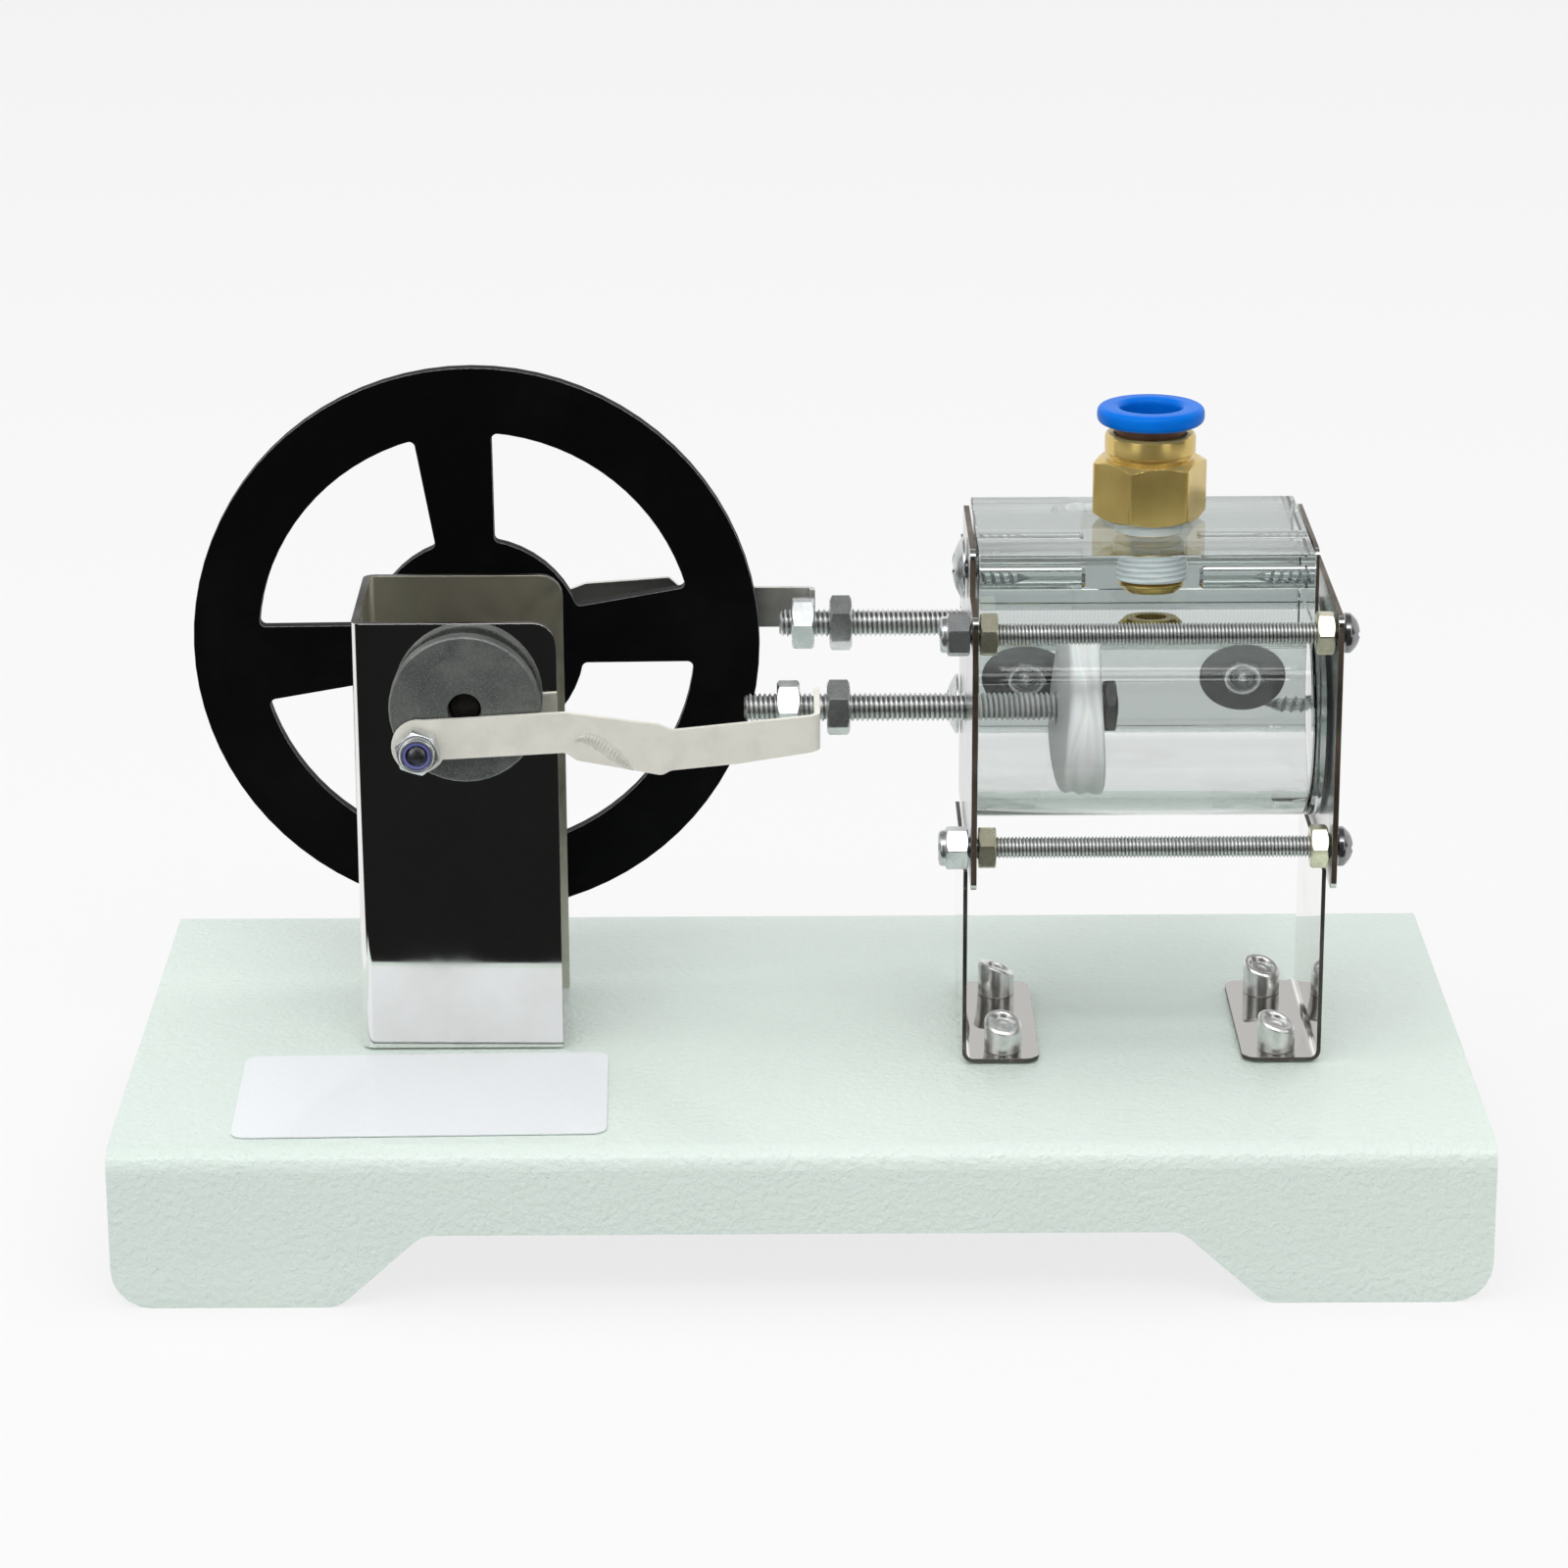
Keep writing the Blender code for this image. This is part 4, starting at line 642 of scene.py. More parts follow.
def build_clear_parts():
    """Acrylic tube, cap and blocks; the blocks' bores leave the screws a hair of air."""
    for node, inside, bore, depth in (
            ("inlet_block", "inlet_block_screw_left", SCREW_BORE, SCREW_BORE_DEPTH),
            ("valve_block", "valve_rod", VALVE_BORE, None)):
        block = bored_block(node + "_shape", *extent(node), span(inside, "X")[2], bore, depth)
        settle(block, "clear_block", "stand", node, slot="clear_acrylic")
    start, end, centre = span("cylinder_tube", "X")
    outer = half_height("cylinder_tube")
    wall = stepped(outer - TUBE_WALL, start, (outer, end))
    tube = turned("cylinder_tube_shape", "X", centre, wall, 0.2, 200, smooth_angle=30)
    settle(tube, "clear_tube", "stand", "cylinder_tube", slot="clear_acrylic")
    face = end + RUNNING_GAP
    _, end, centre = span("cylinder_end_cap", "X")
    disc = stepped(0, face, (half_height("cylinder_end_cap"), end))
    cap = turned("cylinder_end_cap_shape", "X", centre, disc, 0.2, 160, smooth_angle=30)
    settle(cap, "clear_block", "stand", "cylinder_end_cap", slot="clear_acrylic")


def build_port_seals():
    """Black rubber discs behind the tube, each with a hexagon nut and a rounded plug in the port's neck."""
    for node in ("port_seal_left", "port_seal_right"):
        start, end, centre = span(node, "Y")
        disc = end - SEAL_THICKNESS
        ring = stepped(SEAL_NECK, disc - 0.1, (half_height(node), end))
        settle(turned(node + "_disc", "Y", centre, ring, 0.12, 96), "black_rubber", "stand", node)
        nut = hex_nut(node + "_nut", "Y", centre, start, disc - 0.15, SEAL_FLATS, PLUG_RADIUS + 0.03, 0.3, 96)
        settle(nut, "zinc", "stand")
        dome = [(0, start + 0.35), (0.7, start + 0.48), (1.3, start + 0.85), (PLUG_RADIUS, start + 1.5),
                (PLUG_RADIUS, disc - 0.3), (0, disc - 0.3)]
        settle(turned(node + "_plug", "Y", centre, dome, 0.3), "zinc", "stand")


def build_nut(node, axis, size, turn, look, body, slot=None):
    """A hexagon nut in its node's place, with a hair of air round its screw."""
    start, end, centre = span(node, axis)
    nut = hex_nut(node + "_shape", axis, centre, start, end, FLATS[size], size + HAIR, turn)
    settle(nut, look, body, node, slot=slot)


def build_lock_nut(node, axis, way, body, turn):
    """An M3 lock nut: past its hexagon, on the side given, a round collar is rolled inwards over its insert."""
    start, end, centre = span(node, axis)
    face, end = (start, end) if way == 1 else (end, start)
    height = abs(end - face)
    flats, bore = FLATS[M3], M3 + 0.1
    angles = around(144)
    face_radius = flats / 2 * FACE_SHARE
    collar = flats / 2 * COLLAR_SHARE
    shoulder = height * 0.62
    radii, along = hexagon_rows(flats, 0.0, shoulder + 0.6, face_radius, angles - turn)
    seat = [(bore, 0.3), (bore + 0.3, 0), (face_radius - 0.02, 0)]
    rolled = [(collar + 0.05, shoulder + 0.62), (collar, shoulder + 0.75), (collar, height - 0.45),
              (collar - 0.08, height - 0.2), (collar - 0.25, height - 0.03), (collar - 0.42, height),
              (collar - 0.5, height - 0.1), (collar - 0.52, height - 0.75), (bore, height - 0.75)]
    seat, rolled = ([(r, face + way * t) for r, t in part] for part in (seat, rolled))
    nut = spun(node + "_shape", axis, centre, angles, [seat, (radii, face + way * along), rolled])
    settle(nut, "zinc", body, node)
    ring = stepped(M3 + 0.03, end - way * 0.7, (collar - 0.56, end - way * 0.12))
    insert = turned(node + "_insert", axis, centre, ring, 0.12)
    settle(insert, "insert_plastic", body, slot="blue_plastic")


def build_crank():
    """Shaft, disc, pins, flywheel and their nuts, all on the shaft."""
    settle(from_node("crank_disc", 0.12), "crank_steel", "crank", "crank_disc")
    settle(from_node("flywheel", 0.1), "black_steel", "crank", "flywheel")
    start, end, centre = span("crank_shaft", "Y")
    shaft = turned("crank_shaft_bar", "Y", centre, stepped(0, start, (M4, end)), 0.3)
    settle(shaft, "shaft_end", "crank", "crank_shaft", slot="zinc")
    for node in ("front_bush", "rear_bush"):
        start, end, centre = span(node, "Y")
        flange = half_height(node)
        if node == "front_bush":
            steps = (flange, start + BUSH_FLANGE), (BUSH_RADIUS, end)
        else:
            steps = (BUSH_RADIUS, end - REAR_SPACER), (flange, end)
        bush = turned(node + "_shape", "Y", centre, stepped(M4 + RUNNING_GAP / 2, start, *steps), 0.15, 96)
        settle(bush, "bronze", "stand", node)

    start, end, centre = span("crank_pin", "Y")
    seat = end - PIN_HEAD
    bar = threaded_rod("crank_pin_thread", "Y", centre, start, seat, M3, steps=48)
    settle(bar, "thread_zinc", "crank", "crank_pin", slot="zinc")
    head = turned("crank_pin_head", "Y", centre, stepped(0, seat, (PIN_HEAD_RADIUS, end)), 0.25)
    settle(head, "zinc", "crank")
    build_lock_nut("crank_pin_nut", "Y", -1, "crank", math.radians(12))

    start, end, centre = span("valve_crank_pin", "Y")
    front, back, _ = span("flywheel", "Y")
    front, back = front - RUNNING_GAP, back + RUNNING_GAP
    collar = span("valve_link", "Y")[1] - PIN_HEAD - RUNNING_GAP
    pin = stepped(0, start, (PIN_HEAD_RADIUS, front), (M3, back), (PIN_HEAD_RADIUS, collar), (M3, end))
    settle(turned("valve_crank_pin_shape", "Y", centre, pin, 0.15), "zinc", "crank", "valve_crank_pin")
    build_lock_nut("valve_pin_nut", "Y", 1, "crank", 0.0)
    build_nut("flywheel_nut", "Y", M4, 0.0, "zinc", "crank")


WELD_SPINE = np.array([(-30.7, 69.5), (-28.9, 70.0), (-26.7, 68.8), (-24.6, 67.1), (-22.6, 65.4)])


def weld_bead(name, front):
    """A crescent of weld on the strip's front face, along a spine drawn smoothly through its points.

    At a share s along it and a share w across it, from -1 to 1, the half width is
    0.95 sin(pi s)^0.6 and the height 0.24 (1 - w^2)^1.5 sin(pi s)^0.5 (1 + 0.2 sin(128 s + 2.2 w^2)),
    with shallow ripples that bow along the bead; below the face it closes flat.
    """
    knots = np.linspace(0, 1, len(WELD_SPINE))
    s = np.linspace(0, 1, 150)
    fit = [np.polyfit(knots, WELD_SPINE[:, i], 3) for i in (0, 1)]
    spine = np.stack([np.polyval(f, s) for f in fit], -1)
    along = np.gradient(spine, axis=0)
    side = np.stack([-along[:, 1], along[:, 0]], -1) / np.linalg.norm(along, axis=1)[:, None]
    s = s[:, None]
    w = np.linspace(-1, 1, 25)[None, :]
    swell = np.sin(np.pi * np.clip(s, 0.004, 0.996))
    spread = w * 0.95 * swell ** 0.6 * (1 + 0.06 * np.sin(31 * s) + 0.05 * np.sin(53 * s + 2 * w))
    rise = 0.24 * (1 - w ** 2) ** 1.5 * swell ** 0.5 * (1 + 0.2 * np.sin(128 * s + 2.2 * w ** 2))
    x = spine[:, :1] + spread * side[:, :1]
    z = spine[:, 1:] + spread * side[:, 1:]
    top = np.stack([x, front - rise, z], -1)
    bottom = np.stack([x, np.full(x.shape, front + 0.05), z], -1)[:, ::-1]
    grid = np.concatenate([top, bottom], 1)
    first, last = (np.broadcast_to(grid[i].mean(0), grid[:1].shape) for i in (0, -1))
    return surface(name, np.concatenate([first, grid, last], 0), smooth_angle=60)


def build_links():
    settle(from_node("connecting_rod", 0.09), "satin_nickel", "connecting_rod", "connecting_rod")
    settle(from_node("valve_link", 0.09), "link_nickel", "valve_link", "valve_link", slot="satin_nickel")
    bead = weld_bead("connecting_rod_weld", extent("connecting_rod")[0][1])
    settle(bead, "weld", "connecting_rod", slot="satin_nickel")


def build_adjusted_rod(body, outer_turn, inner_turn):
    """An M4 rod, threaded from end to end, with its two adjusting nuts turned as they were left."""
    node = body + "_rod"
    start, end, centre = span(node, "X")
    settle(threaded_rod(node + "_thread", "X", centre, start, end, M4), "thread_zinc", body, node, slot="zinc")
    build_nut(node + "_nut_outer", "X", M4, outer_turn, "zinc", body)
    build_nut(node + "_nut_inner", "X", M4, inner_turn, "zinc", body)


def build_piston():
    """The rod with its nuts, and the piston wrapped in white tape."""
    build_adjusted_rod("piston", 0.443, -0.052)
    build_nut("piston_nut", "X", M4, 0.2, "dark_nut", "piston", slot="crank_steel")
    start, end, _ = span("piston", "X")
    start += PISTON_SET_IN
    radius, bore, bends = half_height("piston"), M4 + HAIR, 10
    rows = np.array(softened_profile(stepped(bore, start, (radius, end)), 1.0, steps=bends))
    near, far = bends + 1, 2 * (bends + 1)
    extra = np.linspace(rows[near:far, 1].max(), rows[far:far + near, 1].min(), 42)[1:-1]
    side = np.stack([np.full(extra.shape, radius), extra], -1)
    rows = np.concatenate([rows[:far], side, rows[far:]])
    drum = wrapped_piston("piston_wrapping", span("piston_rod", "X")[2], rows, radius, (start + end) / 2)
    settle(drum, "white_plastic", "piston", "piston")


def wrapped_piston(name, centre, profile, radius, middle_x, steps=320):
    """The piston's drum wrapped in tape, its radius lowered along two wandering creases.

    Crease i follows x = m + c + a sin(2 phi + p) and lowers the radius by d exp(-((x - crease) / w)^2); past
    it the next layer of tape stands proud by a tanh step. The tape bulges towards its right end. Near the
    bore nothing is lowered, so the hole stays round. Round the drum the places are drawn together towards
    the middle by 0.18 + 0.16 cos(phi - 1.7) + 0.07 sin(3 phi), so its edges wander.
    """
    angles = around(steps)
    radii = np.broadcast_to(profile[:, :1], (len(profile), steps))
    along = np.broadcast_to(profile[:, 1:2], radii.shape)
    share = np.clip((radii - 3.0) / (radius - 3.0), 0, 1) ** 2
    a = angles[None, :]
    reach = (along - middle_x) / 3.7
    low = 0.14 + 0.3 * np.clip(-reach, 0, 1) ** 2 + 0.08 * np.sin(4 * a + 0.6 * along) * np.sin(3 * a - 0.5 * along)
    for shift, swing, phase, width, depth in ((0.3, 1.3, 0.7, 0.85, 0.75), (-0.7, 1.1, 3.4, 0.6, 0.4)):
        crease = middle_x + shift + swing * np.sin(2 * a + phase) + 0.3 * np.sin(5 * a)
        offset = (along - crease) / width
        low = low + depth * np.exp(-offset ** 2) + 0.06 * np.tanh(-offset)
    low = np.maximum(low, 0.01)
    drawn = 0.18 + 0.16 * np.cos(a - 1.7) + 0.07 * np.sin(3 * a)
    along = along - (along - middle_x) * np.clip(drawn, 0, 1) * share
    return spun(name, "X", centre, angles, [(radii - low * share, along)], smooth_angle=60)


def build_valve():
    """The rod with its nuts, and the two-land spool."""
    build_adjusted_rod("valve", 0.35, -0.087)
    start, end, _ = span("valve_spool", "X")
    profile = stepped(0, start, (SPOOL_RADIUS, start + SPOOL_LAND), (SPOOL_WAIST, end - SPOOL_LAND),
                      (SPOOL_RADIUS, end))
    spool = turned("valve_spool_shape", "X", span("valve_rod", "X")[2], profile, 0.2)
    settle(spool, "brass", "valve", "valve_spool")


def build_tie_rods():
    """M3 screws along the front: threads, dark pan heads, a lock nut outside and nuts inside."""
    face = span("right_end_plate", "X")[1] + RUNNING_GAP
    for node, turn in (("upper_tie_rod", 0.1), ("lower_tie_rod", 0.35)):
        start, end, centre = span(node, "X")
        bar = threaded_rod(node + "_thread", "X", centre, start, face + 0.2, M3)
        settle(bar, "thread_zinc", "stand", node, slot="zinc")
        head = domed_head(node + "_head", centre, face, 2.75, end - face, 0.8, (0.42, 1.55, 1.1), M3)
        settle(head, "dark_chrome", "stand", slot="zinc")
        build_lock_nut(node + "_lock_nut", "X", -1, "stand", turn)
        build_nut(node + "_left_nut", "X", M3, 0.15, "yellow_zinc", "stand")
        build_nut(node + "_right_nut", "X", M3, 0.4, "yellow_zinc", "stand")


TAP_RADIUS, TAP_RIM, TAP_HEAD, FLAT_HEAD = 4.3, 0.22, 1.7, 0.9
TAP_PITCH, TAP_ROOT, TAP_CREST, TAP_POINT = 1.25, 1.08, 1.5, 2.8


def tapping_screw(name, centre, face, way, head_height, tip, steps=96):
    """One surface from the crown over the rim, the coarse thread and the point.

    The thread has a sharp crest, and its radius is capped by a cone over the last 2.8 mm.
    """
    angles = around(steps)
    rim = head_height * TAP_RIM
    recess = (0.5, 2.1, min(1.2, head_height * 0.75))
    rho, lifted = crown(TAP_RADIUS, head_height, rim, 2.4, recess, angles, 40)
    length = abs(tip - face)
    along = np.linspace(0.15, length - HAIR, int(length * 12))[:, None]
    phase = (along / TAP_PITCH - angles[None, :] / (2 * np.pi)) % 1
    crest = np.clip(1 - np.abs(phase - 0.5) * 5.2, 0, 1)
    room = (length - along) / TAP_POINT
    shank = np.minimum(TAP_ROOT + (TAP_CREST - TAP_ROOT) * crest, TAP_CREST * room + 0.02)
    edge = [(TAP_RADIUS, face - way * rim * 0.7), (TAP_RADIUS, face - way * rim * 0.25), (TAP_RADIUS * 0.98, face),
            (1.15, face)]
    return spun(name, "X", centre, angles, [(rho, face - way * lifted), edge, (shank, face + way * along),
                                            [(0, face + way * length)]], False, 42)


def build_tapping_screws():
    for node, way, height in (("inlet_block_screw_left", 1, TAP_HEAD), ("inlet_block_screw_right", -1, FLAT_HEAD),
                              ("valve_block_screw_left", 1, TAP_HEAD), ("valve_block_screw_right", -1, TAP_HEAD)):
        start, end, centre = span(node, "X")
        back, tip = (start, end) if way == 1 else (end, start)
        settle(tapping_screw(node + "_shape", centre, back + way * height, way, height, tip), "zinc", "stand", node)


SLANTS = {"left_foot_rivet_front": -70.0, "left_foot_rivet_back": 20.0, "right_foot_rivet_front": -35.0,
          "right_foot_rivet_back": -50.0, "bracket_rivet_front": None, "bracket_rivet_back": None}
BASE_SHEET, LEG_SHEET, BRACKET_SHEET = 1.2, 0.6, 1.0
TALL_BODY, LOW_BODY = 4.2, 1.6
SLANT_SHARE = 0.36


def build_rivets():
    """Blind rivets: head below, shank, body above; the foot rivets' tops slant round a mandrel hollow.

    Above its middle each point drops by 0.36 of its distance along the slant.
    """
    angles = around(96)
    for node, slant in SLANTS.items():
        start, _, centre = span(node, "Z")
        upright = slant is None
        sheet, body = (BRACKET_SHEET, LOW_BODY) if upright else (LEG_SHEET, TALL_BODY)
        seat = start + 0.9
        top = seat + RUNNING_GAP * 2 + BASE_SHEET + sheet + body
        foot = top - body
        profile = np.array(softened_profile(
            [(0, start), (2.2, start), (3.0, start + 0.55), (3.0, seat), (1.6, seat), (1.6, foot), (2.6, foot),
             (2.6, top - 0.35), (2.3, top), (1.85, top), (1.65, top - 0.3), (1.55, top - 0.75), (0.9, top - 0.8),
             (0, top - 0.6)], 0.12, closed=False, steps=3))
        radii = np.broadcast_to(profile[:, :1], (len(profile), len(angles)))
        along = np.broadcast_to(profile[:, 1:2], radii.shape)
        if not upright:
            reach = radii * np.cos(angles[None, :] - math.radians(slant))
            along = along - SLANT_SHARE * reach * np.clip((along - foot - 1.2) / 1.0, 0, 1)
        rivet = spun(node + "_shape", "Z", centre, angles, [(radii, along)], False, 40)
        settle(rivet, "aluminium", "stand", node)


FITTING_FLATS, FITTING_TURN = 14.0, math.radians(-23.0)
FITTING_HEXAGON, FITTING_NECK, FITTING_SEAT = 8.4, 0.8, 9.0
FITTING_THREAD = (4.7, 1.0, 0.45)
AIR_WAY = 2.2
RING_BORE, RING_SLEEVE, RING_RADIUS, RING_THICKNESS = 4.2, 4.7, 7.45, 2.4


def build_fitting():
    """Brass push-in fitting: hexagon with two chamfers, neck, collar and taped thread; the blue ring on top."""
    start, top, centre = span("fitting_body", "Z")
    block_top = span("inlet_block", "Z")[1]
    seat = block_top + RUNNING_GAP
    hex_top = seat + FITTING_HEXAGON
    neck_top = hex_top + FITTING_NECK
    angles = around(180)
    face = FITTING_FLATS / 2 * FACE_SHARE
    hexagon = hexagon_rows(FITTING_FLATS, seat, hex_top, face, angles - FITTING_TURN, rows=12)
    below = [(AIR_WAY, start), (3.6, start), (4.0, start + 0.4), (4.0, seat - 0.2), (4.3, seat),
             (face - 0.05, seat)]
    above = [(face - 0.05, hex_top), (5.85, hex_top), (5.7, hex_top + 0.12), (5.7, neck_top - 0.1),
             (5.8, neck_top), (6.1, neck_top), (6.3, neck_top + 0.2), (6.3, top - 0.6), (6.22, top - 0.3),
             (5.9, top), (5.25, top), (5.0, top - 0.25), (5.0, top - FITTING_SEAT), (AIR_WAY, top - FITTING_SEAT)]
    settle(spun("fitting_shape", "Z", centre, angles, [below, hexagon, above]), "brass", "stand", "fitting_body")

    sparse = angles[::2]
    first, last = start + 0.5, start + 1.6
    rows = thread_rows(first, last, *FITTING_THREAD, sparse, 12)
    thread = spun("fitting_thread", "Z", centre, sparse, [[(4.02, first)], rows, [(4.02, last)]], smooth_angle=40)
    settle(thread, "brass", "stand")
    settle(turned_tape("fitting_tape", centre, start + 1.7, block_top - 0.3), "white_plastic", "stand")

    start, end, centre = span("release_ring", "Z")
    rim = end - RING_THICKNESS
    profile = stepped(RING_BORE, start, (RING_SLEEVE, rim), (RING_RADIUS, end))
    ring = turned("release_ring_shape", "Z", centre, profile, 1.05, 160, corner_steps=8)
    settle(ring, "blue_plastic", "release_ring", "release_ring")
    # A dark brown band round the sleeve under the ring: painted shade in the gap between ring and collar.
    band = stepped(RING_SLEEVE + 0.02, rim - 2.6, (RING_SLEEVE + 0.25, rim - 0.02))
    sleeve = turned("release_ring_shade_band", "Z", centre, band, 0.08, 120)
    settle(sleeve, "painted_shade_band", "release_ring", slot="blue_plastic")


def turned_tape(name, centre, low, high, steps=180):
    """Tape drawn over the thread, on a core of 4.6.

    r = 4.9 - 0.17 |sin(pi t / 0.75 - a / 2)| + 0.04 sin(5 a + 4 t)
    """
    angles = around(steps)
    along = np.linspace(low, high, 130)[:, None]
    radii = 4.9 - 0.17 * np.abs(np.sin(np.pi * along / 0.75 - angles / 2)) + 0.04 * np.sin(5 * angles + 4 * along)
    return spun(name, "Z", centre, angles, [[(4.6, low)], (radii, along), [(4.6, high)]], smooth_angle=50)


# studio

FOCAL_SHARE = 5146.3 / 1600
SENSOR = 36.0
CAMERA_PLACE = np.array([-3.774, -671.415, 278.893])
PITCH, YAW, ROLL = 0.317358, 0.0025524, -0.0039407


def build_camera():
    """The camera at the photo's place: pitched down, with a trace of yaw and roll."""
    forward = Vector((math.sin(YAW) * math.cos(PITCH), math.cos(YAW) * math.cos(PITCH), -math.sin(PITCH)))
    right = Vector((math.cos(YAW), -math.sin(YAW), 0))
    up = right.cross(forward)
    across = math.cos(ROLL) * right + math.sin(ROLL) * up
    above = -math.sin(ROLL) * right + math.cos(ROLL) * up
    data = bpy.data.cameras.new("Photo camera")
    data.lens = FOCAL_SHARE * SENSOR
    data.sensor_width = SENSOR
    data.clip_start = 0.01
    data.clip_end = 100
    camera = linked("Photo camera", data)
    turn = Matrix((across, above, -forward)).transposed().to_4x4()
    camera.matrix_world = Matrix.Translation(Vector((CAMERA_PLACE * MM).tolist())) @ turn
    bpy.context.scene.camera = camera


def soft_lamp(name, place, target, size, watts, mirrored=True):
    """A rectangular lamp that faces its target, seen by the mirrors or not."""
    data = bpy.data.lights.new(name, "AREA")
    data.shape = "RECTANGLE"
    data.size, data.size_y = size
    data.energy = watts
    lamp = linked(name, data)
    lamp.location = place
    lamp.rotation_euler = (Vector(target) - Vector(place)).to_track_quat("-Z", "Y").to_euler()
    lamp.visible_glossy = mirrored


def stage_sheet(name, corners, finish):
    """One flat sheet of the studio, from its corners."""
    mesh = bpy.data.meshes.new(name)
    mesh.from_pydata(corners, [], [(0, 1, 2, 3)])
    mesh.materials.append(finish.material)
    sheet = linked(name, mesh)
    return sheet


def dark_card(name, low, high, shade=0.012):
    """A matt dark sheet, lying or upright, for the mirrors to see; the camera and the lamps pass it by."""
    cloth = Finish(name, Roughness=0.9, Specular_IOR_Level=0.0)
    weave = cloth.noise(400, 2.0, 0.6)
    cloth.set(Base_Color=cloth.blend(weave, (0.7 * shade,) * 3, (shade,) * 3))
    (x0, y0, z0), (x1, y1, z1) = low, high
    near, far = (y1, y0) if x0 == x1 else (y0, y1)
    card = stage_sheet(name, [(x0, y0, z0), (x1, near, z0), (x1, y1, z1), (x0, far, z1)], cloth)
    card.visible_camera = card.visible_diffuse = card.visible_transmission = card.visible_shadow = False


def build_studio():
    """A plain pale floor, a white world behind it, soft lamps and the dark cards."""
    scene = bpy.context.scene
    scene.view_settings.view_transform = "Standard"
    scene.world = bpy.data.worlds.new("Studio")
    scene.world.use_nodes = True
    sky = Board(scene.world.node_tree, "ShaderNodeOutputWorld")
    lit, seen = (sky.node("ShaderNodeBackground", None, {"Color": (1, 1, 1, 1), "Strength": level})
                 for level in (WORLD_LEVEL, 1.0))
    sky.show(sky.mixed(sky.watched(), lit, seen))

    pale = Finish("floor", Roughness=0.8, Specular_IOR_Level=0.1)
    pale.set(Base_Color=pale.blend(pale.noise(300, 3.0, 0.6), (0.7, 0.7, 0.7), (0.72, 0.72, 0.72)))
    glow = pale.node("ShaderNodeEmission")
    pale.show(pale.mixed(pale.watched() * FLOOR_GLOW, pale.main(), glow))
    corners = ((-1, -1), (1, -1), (1, 1), (-1, 1))
    stage_sheet("Floor", [(x * FLOOR_REACH, y * FLOOR_REACH, 0) for x, y in corners], pale)
    for lamp in LAMPS:
        soft_lamp(*lamp)
    for card in CARDS:
        dark_card(*card)


WORLD_LEVEL = 0.56
FLOOR_GLOW = 0.78
FLOOR_REACH = 4.0
LAMPS = (
    ("Long lamp", (-0.05, -0.6, 0.82), (0, 0, 0.05), (1.1, 0.24), 3.6),
    ("Left lamp", (-0.9, -0.35, 0.45), (0, 0, 0.06), (0.5, 0.6), 1.1),
    ("Ceiling lamp", (0, 0.1, 1.1), (0, 0, 0.05), (1.2, 1.0), 5.4, False),
)
CARDS = (
    ("Front card", (-0.5, -1.3, 0.001), (0.5, -0.06, 0.001)),
    ("Far card", (-0.7, -1.3, 0.0), (0.7, -1.3, 1.3)),
    ("Left card", (-0.8, -0.7, 0.02), (-0.8, 0.05, 0.5)),
    ("Right card", (0.8, -0.7, 0.02), (0.8, 0.05, 0.5)),
    ("High card", (-0.8, -0.3, 1.0), (0.8, 1.2, 1.0), 0.35),
)

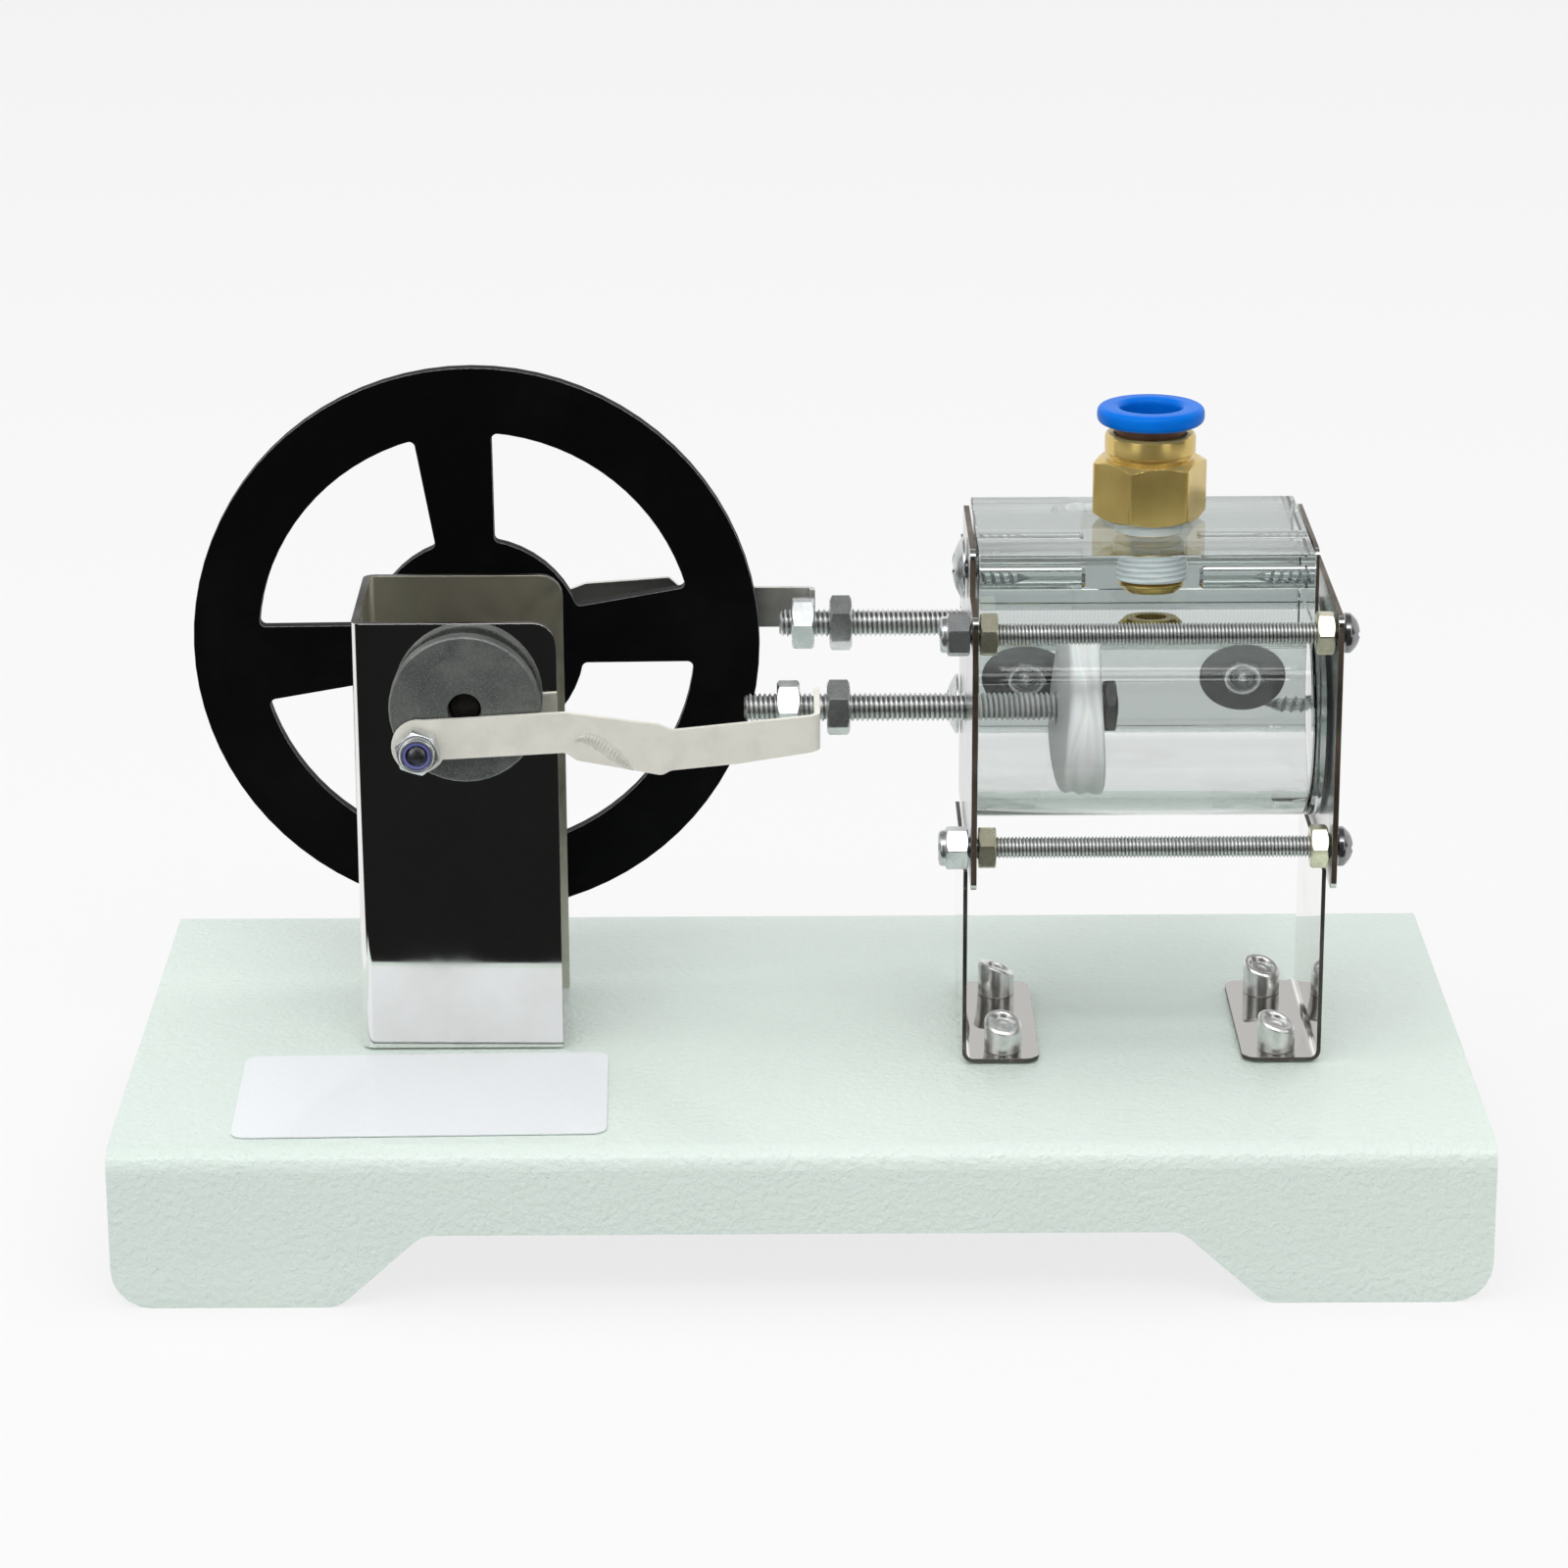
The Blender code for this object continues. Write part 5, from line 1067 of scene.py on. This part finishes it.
ZINCS = {
    "zinc": ((0.7, 0.72, 0.72), (0.55, 0.57, 0.58), 0.2),
    "yellow_zinc": ((0.8, 0.78, 0.6), (0.64, 0.6, 0.44), 0.22),
    "dark_nut": ((0.14, 0.135, 0.13), (0.07, 0.068, 0.065), 0.34),
    "dark_chrome": ((0.3, 0.3, 0.31), (0.2, 0.2, 0.21), 0.12),
    "aluminium": ((0.84, 0.84, 0.83), (0.68, 0.68, 0.67), 0.24),
    "bronze": ((0.2, 0.14, 0.08), (0.12, 0.085, 0.05), 0.38),
    "shaft_end": ((0.06, 0.055, 0.05), (0.03, 0.028, 0.025), 0.35),
}
NICKELS = {
    "satin_nickel": ((0.92, 0.905, 0.82), (0.82, 0.805, 0.72), 0.28, 0.32),
    "link_nickel": ((0.72, 0.71, 0.67), (0.55, 0.545, 0.51), 0.95, 0.2),
    "weld": ((0.8, 0.79, 0.71), (0.66, 0.64, 0.56), 0.4, 0.28),
}
EDGES = {
    "steel_edge": ((0.05, 0.045, 0.04), (0.14, 0.13, 0.12)),
    "burnt_edge": ((0.1, 0.075, 0.055), (0.22, 0.18, 0.14)),
}
PLASTICS = {
    "black_rubber": ((0.006, 0.006, 0.006), (0.012, 0.012, 0.012), 0.5, 0.0, 0.08),
    # The dark brown colours below are painted shade for the band under the release ring.
    "painted_shade_band": ((0.12, 0.05, 0.02), (0.19, 0.09, 0.04), 0.4),
    "insert_plastic": ((0.09, 0.1, 0.3), (0.16, 0.16, 0.4), 0.35, 0.3),
    "blue_plastic": ((0.0, 0.14, 0.64), (0.0, 0.17, 0.72), 0.3, 0.08, 0.05),
}
looks = {
    "powder_coat": powder_coat(), "label": label_film(), "polished_steel": polished_steel(),
    "cut_sheet": cut_sheet(), "crank_steel": crank_steel(), "black_steel": black_steel(),
    "thread_zinc": thread_zinc(), "brass": brass(), "white_plastic": sealing_tape(),
    "clear_tube": clear_acrylic("clear_acrylic", (0.87, 0.885, 0.88), 0.01, 0.04),
    "clear_block": clear_acrylic("clear_acrylic_block", (0.6, 0.64, 0.63), 0.01, 0.03),
}
for make, kinds in ((zinc, ZINCS), (satin_nickel, NICKELS), (cut_edge, EDGES), (plastic, PLASTICS)):
    for kind, values in kinds.items():
        looks[kind] = make(kind, *values)

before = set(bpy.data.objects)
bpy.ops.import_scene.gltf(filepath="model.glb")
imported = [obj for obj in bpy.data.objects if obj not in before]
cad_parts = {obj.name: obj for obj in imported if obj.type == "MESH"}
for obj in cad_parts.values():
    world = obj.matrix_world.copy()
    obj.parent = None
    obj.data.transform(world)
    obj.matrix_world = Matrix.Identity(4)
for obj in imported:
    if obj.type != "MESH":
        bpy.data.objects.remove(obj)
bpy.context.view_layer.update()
for build in (build_sheet_parts, build_clear_parts, build_port_seals, build_crank, build_links, build_piston,
              build_valve, build_tie_rods, build_tapping_screws, build_rivets, build_fitting, build_camera,
              build_studio):
    build()
